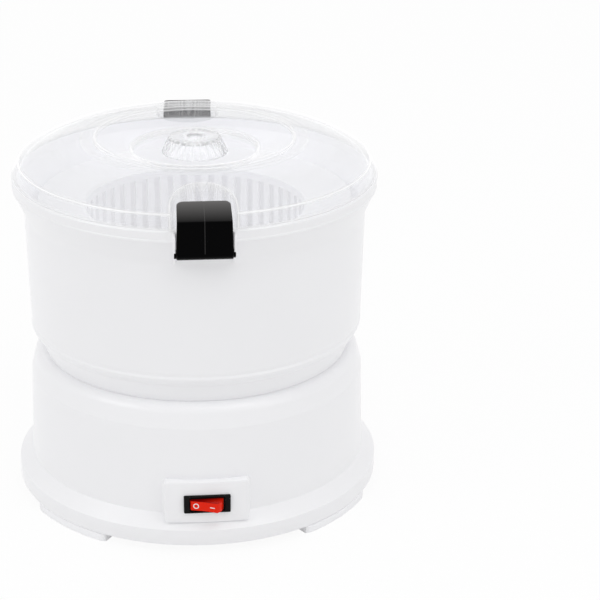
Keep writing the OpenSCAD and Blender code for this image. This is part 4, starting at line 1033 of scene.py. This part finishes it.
# %% Clasp
CREASE_UP, TIP, CLASP_CORNER = 7.6, 3.2, 3.2
SEAM_W, SEAM_DEPTH, CLASP_END = 0.2, 0.14, 0.9
SLOPE_RUN = 14.8


def clasp_path():
    """Outer line of the skin as (distance from the axis, height): upright, a tight crease, then a
    slightly crowned slope. Returned with the length so far: even steps, then ever shorter ones by a
    sine over the tip."""
    crease = bowl_top + CREASE_UP
    slope = arc((CLASP_FACE - CLASP_END, crease + 0.6), (110.6, crease + 8.2), 18, 10)
    skin = rounded([(CLASP_FACE, hinge_z, 0), (CLASP_FACE, crease - 0.6, 1.6)]
                   + as_corners(slope), closed=False, n=6)
    length = np.concatenate([[0], np.cumsum(np.linalg.norm(np.diff(skin, axis=0), axis=1))])
    total = length[-1]
    tip = total - TIP * (1 - np.sin(np.linspace(0.1, np.pi / 2, 9)))
    s = np.concatenate([np.linspace(0, total - TIP, 44), tip])
    return np.stack([np.interp(s, length, skin[:, k]) for k in (0, 1)], -1), s, total


def clasp_skin():
    """Soft rectangles square to the path: width falls towards the tip and follows a quarter circle
    at the corners, the skin thins over the last 3 mm, and the outer side has a fine groove at x = 0."""
    path, s, total = clasp_path()
    heading = np.gradient(path, axis=0)
    heading /= np.linalg.norm(heading, axis=1)[:, None]
    inward = np.stack([-heading[:, 1], heading[:, 0]], -1)
    near = np.clip(total - s, 0, CLASP_CORNER)
    drawn = CLASP_CORNER - np.sqrt(np.maximum(CLASP_CORNER ** 2 - (CLASP_CORNER - near) ** 2, 0))
    width = CLASP_W + CLASP_SPREAD * (1 - s / total) - 2 * drawn
    thick = CLASP_T * (0.55 + 0.45 * np.clip((total - s) / 3.0, 0, 1) ** 0.5)
    seam = np.array([-1.0, -0.3, -0.15, 0, 0.15, 0.3, 1.0])
    rings = []
    for at, square, w, h in zip(path, inward, width, thick):
        x, across = soft_rect(w, h, 0.75, n=5, extra=seam).T
        groove = np.where((np.abs(x) < SEAM_W) & (across < 0), SEAM_DEPTH, 0)
        yz = at + square * (across + h / 2 + groove)[:, None]
        rings.append(np.stack([x, -yz[:, 0], yz[:, 1]], -1))
    return mesh_from_grid("clasp_skin", capped(np.array(rings)))


def barrel(name, radius, half_length, edge):
    """A round bar along X about the hinge axis, its ends rounded over by a quarter circle: the
    radius loses edge (1 - sin q) where the length loses edge (1 - cos q)."""
    q = np.linspace(0, np.pi / 2, 5)
    end_r, end_x = radius - edge * (1 - np.sin(q)), half_length - edge * (1 - np.cos(q))
    r = np.concatenate([end_r, end_r[::-1]])[:, None]
    x = np.concatenate([-end_x, end_x[::-1]])[:, None]
    a = np.linspace(0, 2 * np.pi, 40, endpoint=False)[None, :]
    points = np.stack([x + 0 * a, -hinge_y + r * np.cos(a), hinge_z + r * np.sin(a)], -1)
    return mesh_from_grid(name, capped(points))


def catch_rib(x):
    """A rib under the lip that bears on the lid's skirt, whose lean its inner side follows."""
    skirt_foot = 0.8
    lean = (LID_R - SKIRT_R) / (SKIRT_UP - skirt_foot)
    low_z, high_z = bowl_top + 1.6, bowl_top + 8.6
    face = [(LID_R - lean * (z - bowl_top - skirt_foot) + 0.5, z) for z in (low_z, high_z)]
    outline = np.array([(CLASP_FACE - CLASP_T + 0.4, low_z), face[0], face[1],
                        (face[1][0], high_z + 3), (CLASP_FACE - CLASP_T - 1, high_z)])
    piece = plate("catch_rib", outline * np.array([-1, 1]), 3.0, 0.3)
    piece.data.transform(Matrix.Translation((x * MM, 0, 0)))
    return piece


def clasp(name, body, turn):
    """Skin, knuckle, pins and two ribs, drawn at the front and turned about Z. The shade attribute
    runs from 0.12 at the crease to 1 at the tip, a painted reflection, and is 0.3 more along the
    seam, a painted highlight."""
    parts = [clasp_skin(), barrel("knuckle", KNUCKLE_R, (CLASP_W + CLASP_SPREAD) / 2, 1.0),
             barrel("trunnions", 2.9, EAR_X + 0.2, 0.3), catch_rib(-10), catch_rib(10)]
    piece = joined(name, *parts)
    x, y, z = vertex_vectors(piece, "co").T / MM
    # Painted reflection on the slope and painted highlight on the seam, as a paler grey.
    along = np.clip((CLASP_FACE - CLASP_END + y) / SLOPE_RUN, 0, 1)
    slope = np.where(z > bowl_top + CREASE_UP + 0.3, 0.12 + 0.88 * along, 0)
    marked(piece, "shade", np.minimum(slope + 0.3 * (np.abs(x) < SEAM_W), 1))
    piece.data.transform(Matrix.Rotation(turn, 4, "Z"))
    place(piece, body, "black_gloss", body)


clasp("clasp_at_front", "front_clasp", 0)
clasp("clasp_at_rear", "rear_clasp", math.pi)

# %% [markdown]
# ## The studio
# The floor and the background are white paper. Camera, mirror and glass rays see them as white,
# with a small share of the floor's own shading, which keeps a soft shadow at the feet. To the rays
# that carry light the floor is pale paper and the room is brighter above than at the horizon, and
# the two together give the object most of its light. Lamps alone would leave hard shadows on it.

# %% Floor and world
FLOOR_GLOW = 0.93


def seen_ray(tree):
    """1 for camera, mirror and see-through rays, 0 for the rays that carry light to the object."""
    ray = tree.nodes.new("ShaderNodeLightPath")
    either = math_node(tree, "MAXIMUM", ray.outputs["Is Camera Ray"], ray.outputs["Is Glossy Ray"])
    return math_node(tree, "MAXIMUM", either, ray.outputs["Is Transmission Ray"])


def floor_paper():
    """Pale paper that is white light for that share of what is seen, and takes shadows by the rest."""
    material, tree, bsdf = new_material("floor paper")
    seen = seen_ray(tree)
    tree.links.new(mixed(tree, seen, (0.88, 0.88, 0.88), (0.9, 0.9, 0.9)), bsdf.inputs["Base Color"])
    bsdf.inputs["Roughness"].default_value = 0.9
    glow = tree.nodes.new("ShaderNodeEmission")
    mix = tree.nodes.new("ShaderNodeMixShader")
    tree.links.new(math_node(tree, "MULTIPLY", seen, FLOOR_GLOW), mix.inputs["Fac"])
    tree.links.new(bsdf.outputs["BSDF"], mix.inputs[1])
    tree.links.new(glow.outputs["Emission"], mix.inputs[2])
    tree.links.new(mix.outputs["Shader"], tree.nodes["Material Output"].inputs["Surface"])
    return material


def floor_sheet(half=6000.0):
    """A square of paper at z = 0, from -half to half each way."""
    x, y = np.meshgrid((-half, half), (-half, half))
    piece = mesh_from_grid("floor", np.stack([x, y, 0 * x], -1), close_columns=False)
    piece.data.materials.append(floor_paper())


def white_world(horizon=0.46, zenith=0.98):
    """The light from the sky rises from the horizon's to the zenith's with the sine of its height."""
    world = bpy.data.worlds.new("white studio")
    bpy.context.scene.world = world
    world.use_nodes = True
    tree = world.node_tree
    lit = tree.nodes["Background"]
    lit.inputs["Color"].default_value = (1, 1, 1, 1)
    towards = tree.nodes.new("ShaderNodeTexCoord")
    split = tree.nodes.new("ShaderNodeSeparateXYZ")
    tree.links.new(towards.outputs["Generated"], split.inputs[0])
    sky = math_node(tree, "MULTIPLY_ADD", split.outputs["Z"], zenith - horizon, horizon)
    tree.links.new(sky, lit.inputs["Strength"])
    seen = tree.nodes.new("ShaderNodeBackground")
    seen.inputs["Color"].default_value = (1, 1, 1, 1)
    mix = tree.nodes.new("ShaderNodeMixShader")
    tree.links.new(seen_ray(tree), mix.inputs["Fac"])
    tree.links.new(lit.outputs["Background"], mix.inputs[1])
    tree.links.new(seen.outputs["Background"], mix.inputs[2])
    tree.links.new(mix.outputs["Shader"], tree.nodes["World Output"].inputs["Surface"])


floor_sheet()
white_world()
print("world", bpy.context.scene.world.name)

# %% [markdown]
# ## The lamps
# Three large soft boxes: the strongest at the left, a weak one at the right, and one high at the
# front right. Small lamps would draw hard spots on the gloss. These are big and close, so their
# reflections are wide, pale bands and the shadows stay soft.

# %% Lamps
MIDDLE = Vector((0, 0, 0.13))


def soft_box(name, at, size, power):
    """A rectangular lamp of that size in metres and power in watts, which stands at a place and
    faces the middle of the object."""
    data = bpy.data.lights.new(name, "AREA")
    data.shape = "RECTANGLE"
    data.size, data.size_y = size
    data.energy = power
    lamp = bpy.data.objects.new(name, data)
    facing = (MIDDLE - Vector(at)).to_track_quat("-Z", "Y").to_matrix().to_4x4()
    lamp.matrix_world = Matrix.Translation(at) @ facing
    bpy.context.scene.collection.objects.link(lamp)
    print("lamp", name, "at", at, "with", power, "W")


soft_box("key", (-1.6, -0.8, 1.3), (1.0, 1.0), 6.8)
soft_box("fill", (1.4, -1.1, 0.9), (1.0, 1.2), 3.0)
soft_box("high", (0.6, -0.8, 1.8), (0.9, 0.9), 3.4)

bpy.context.scene.view_settings.view_transform = "Standard"
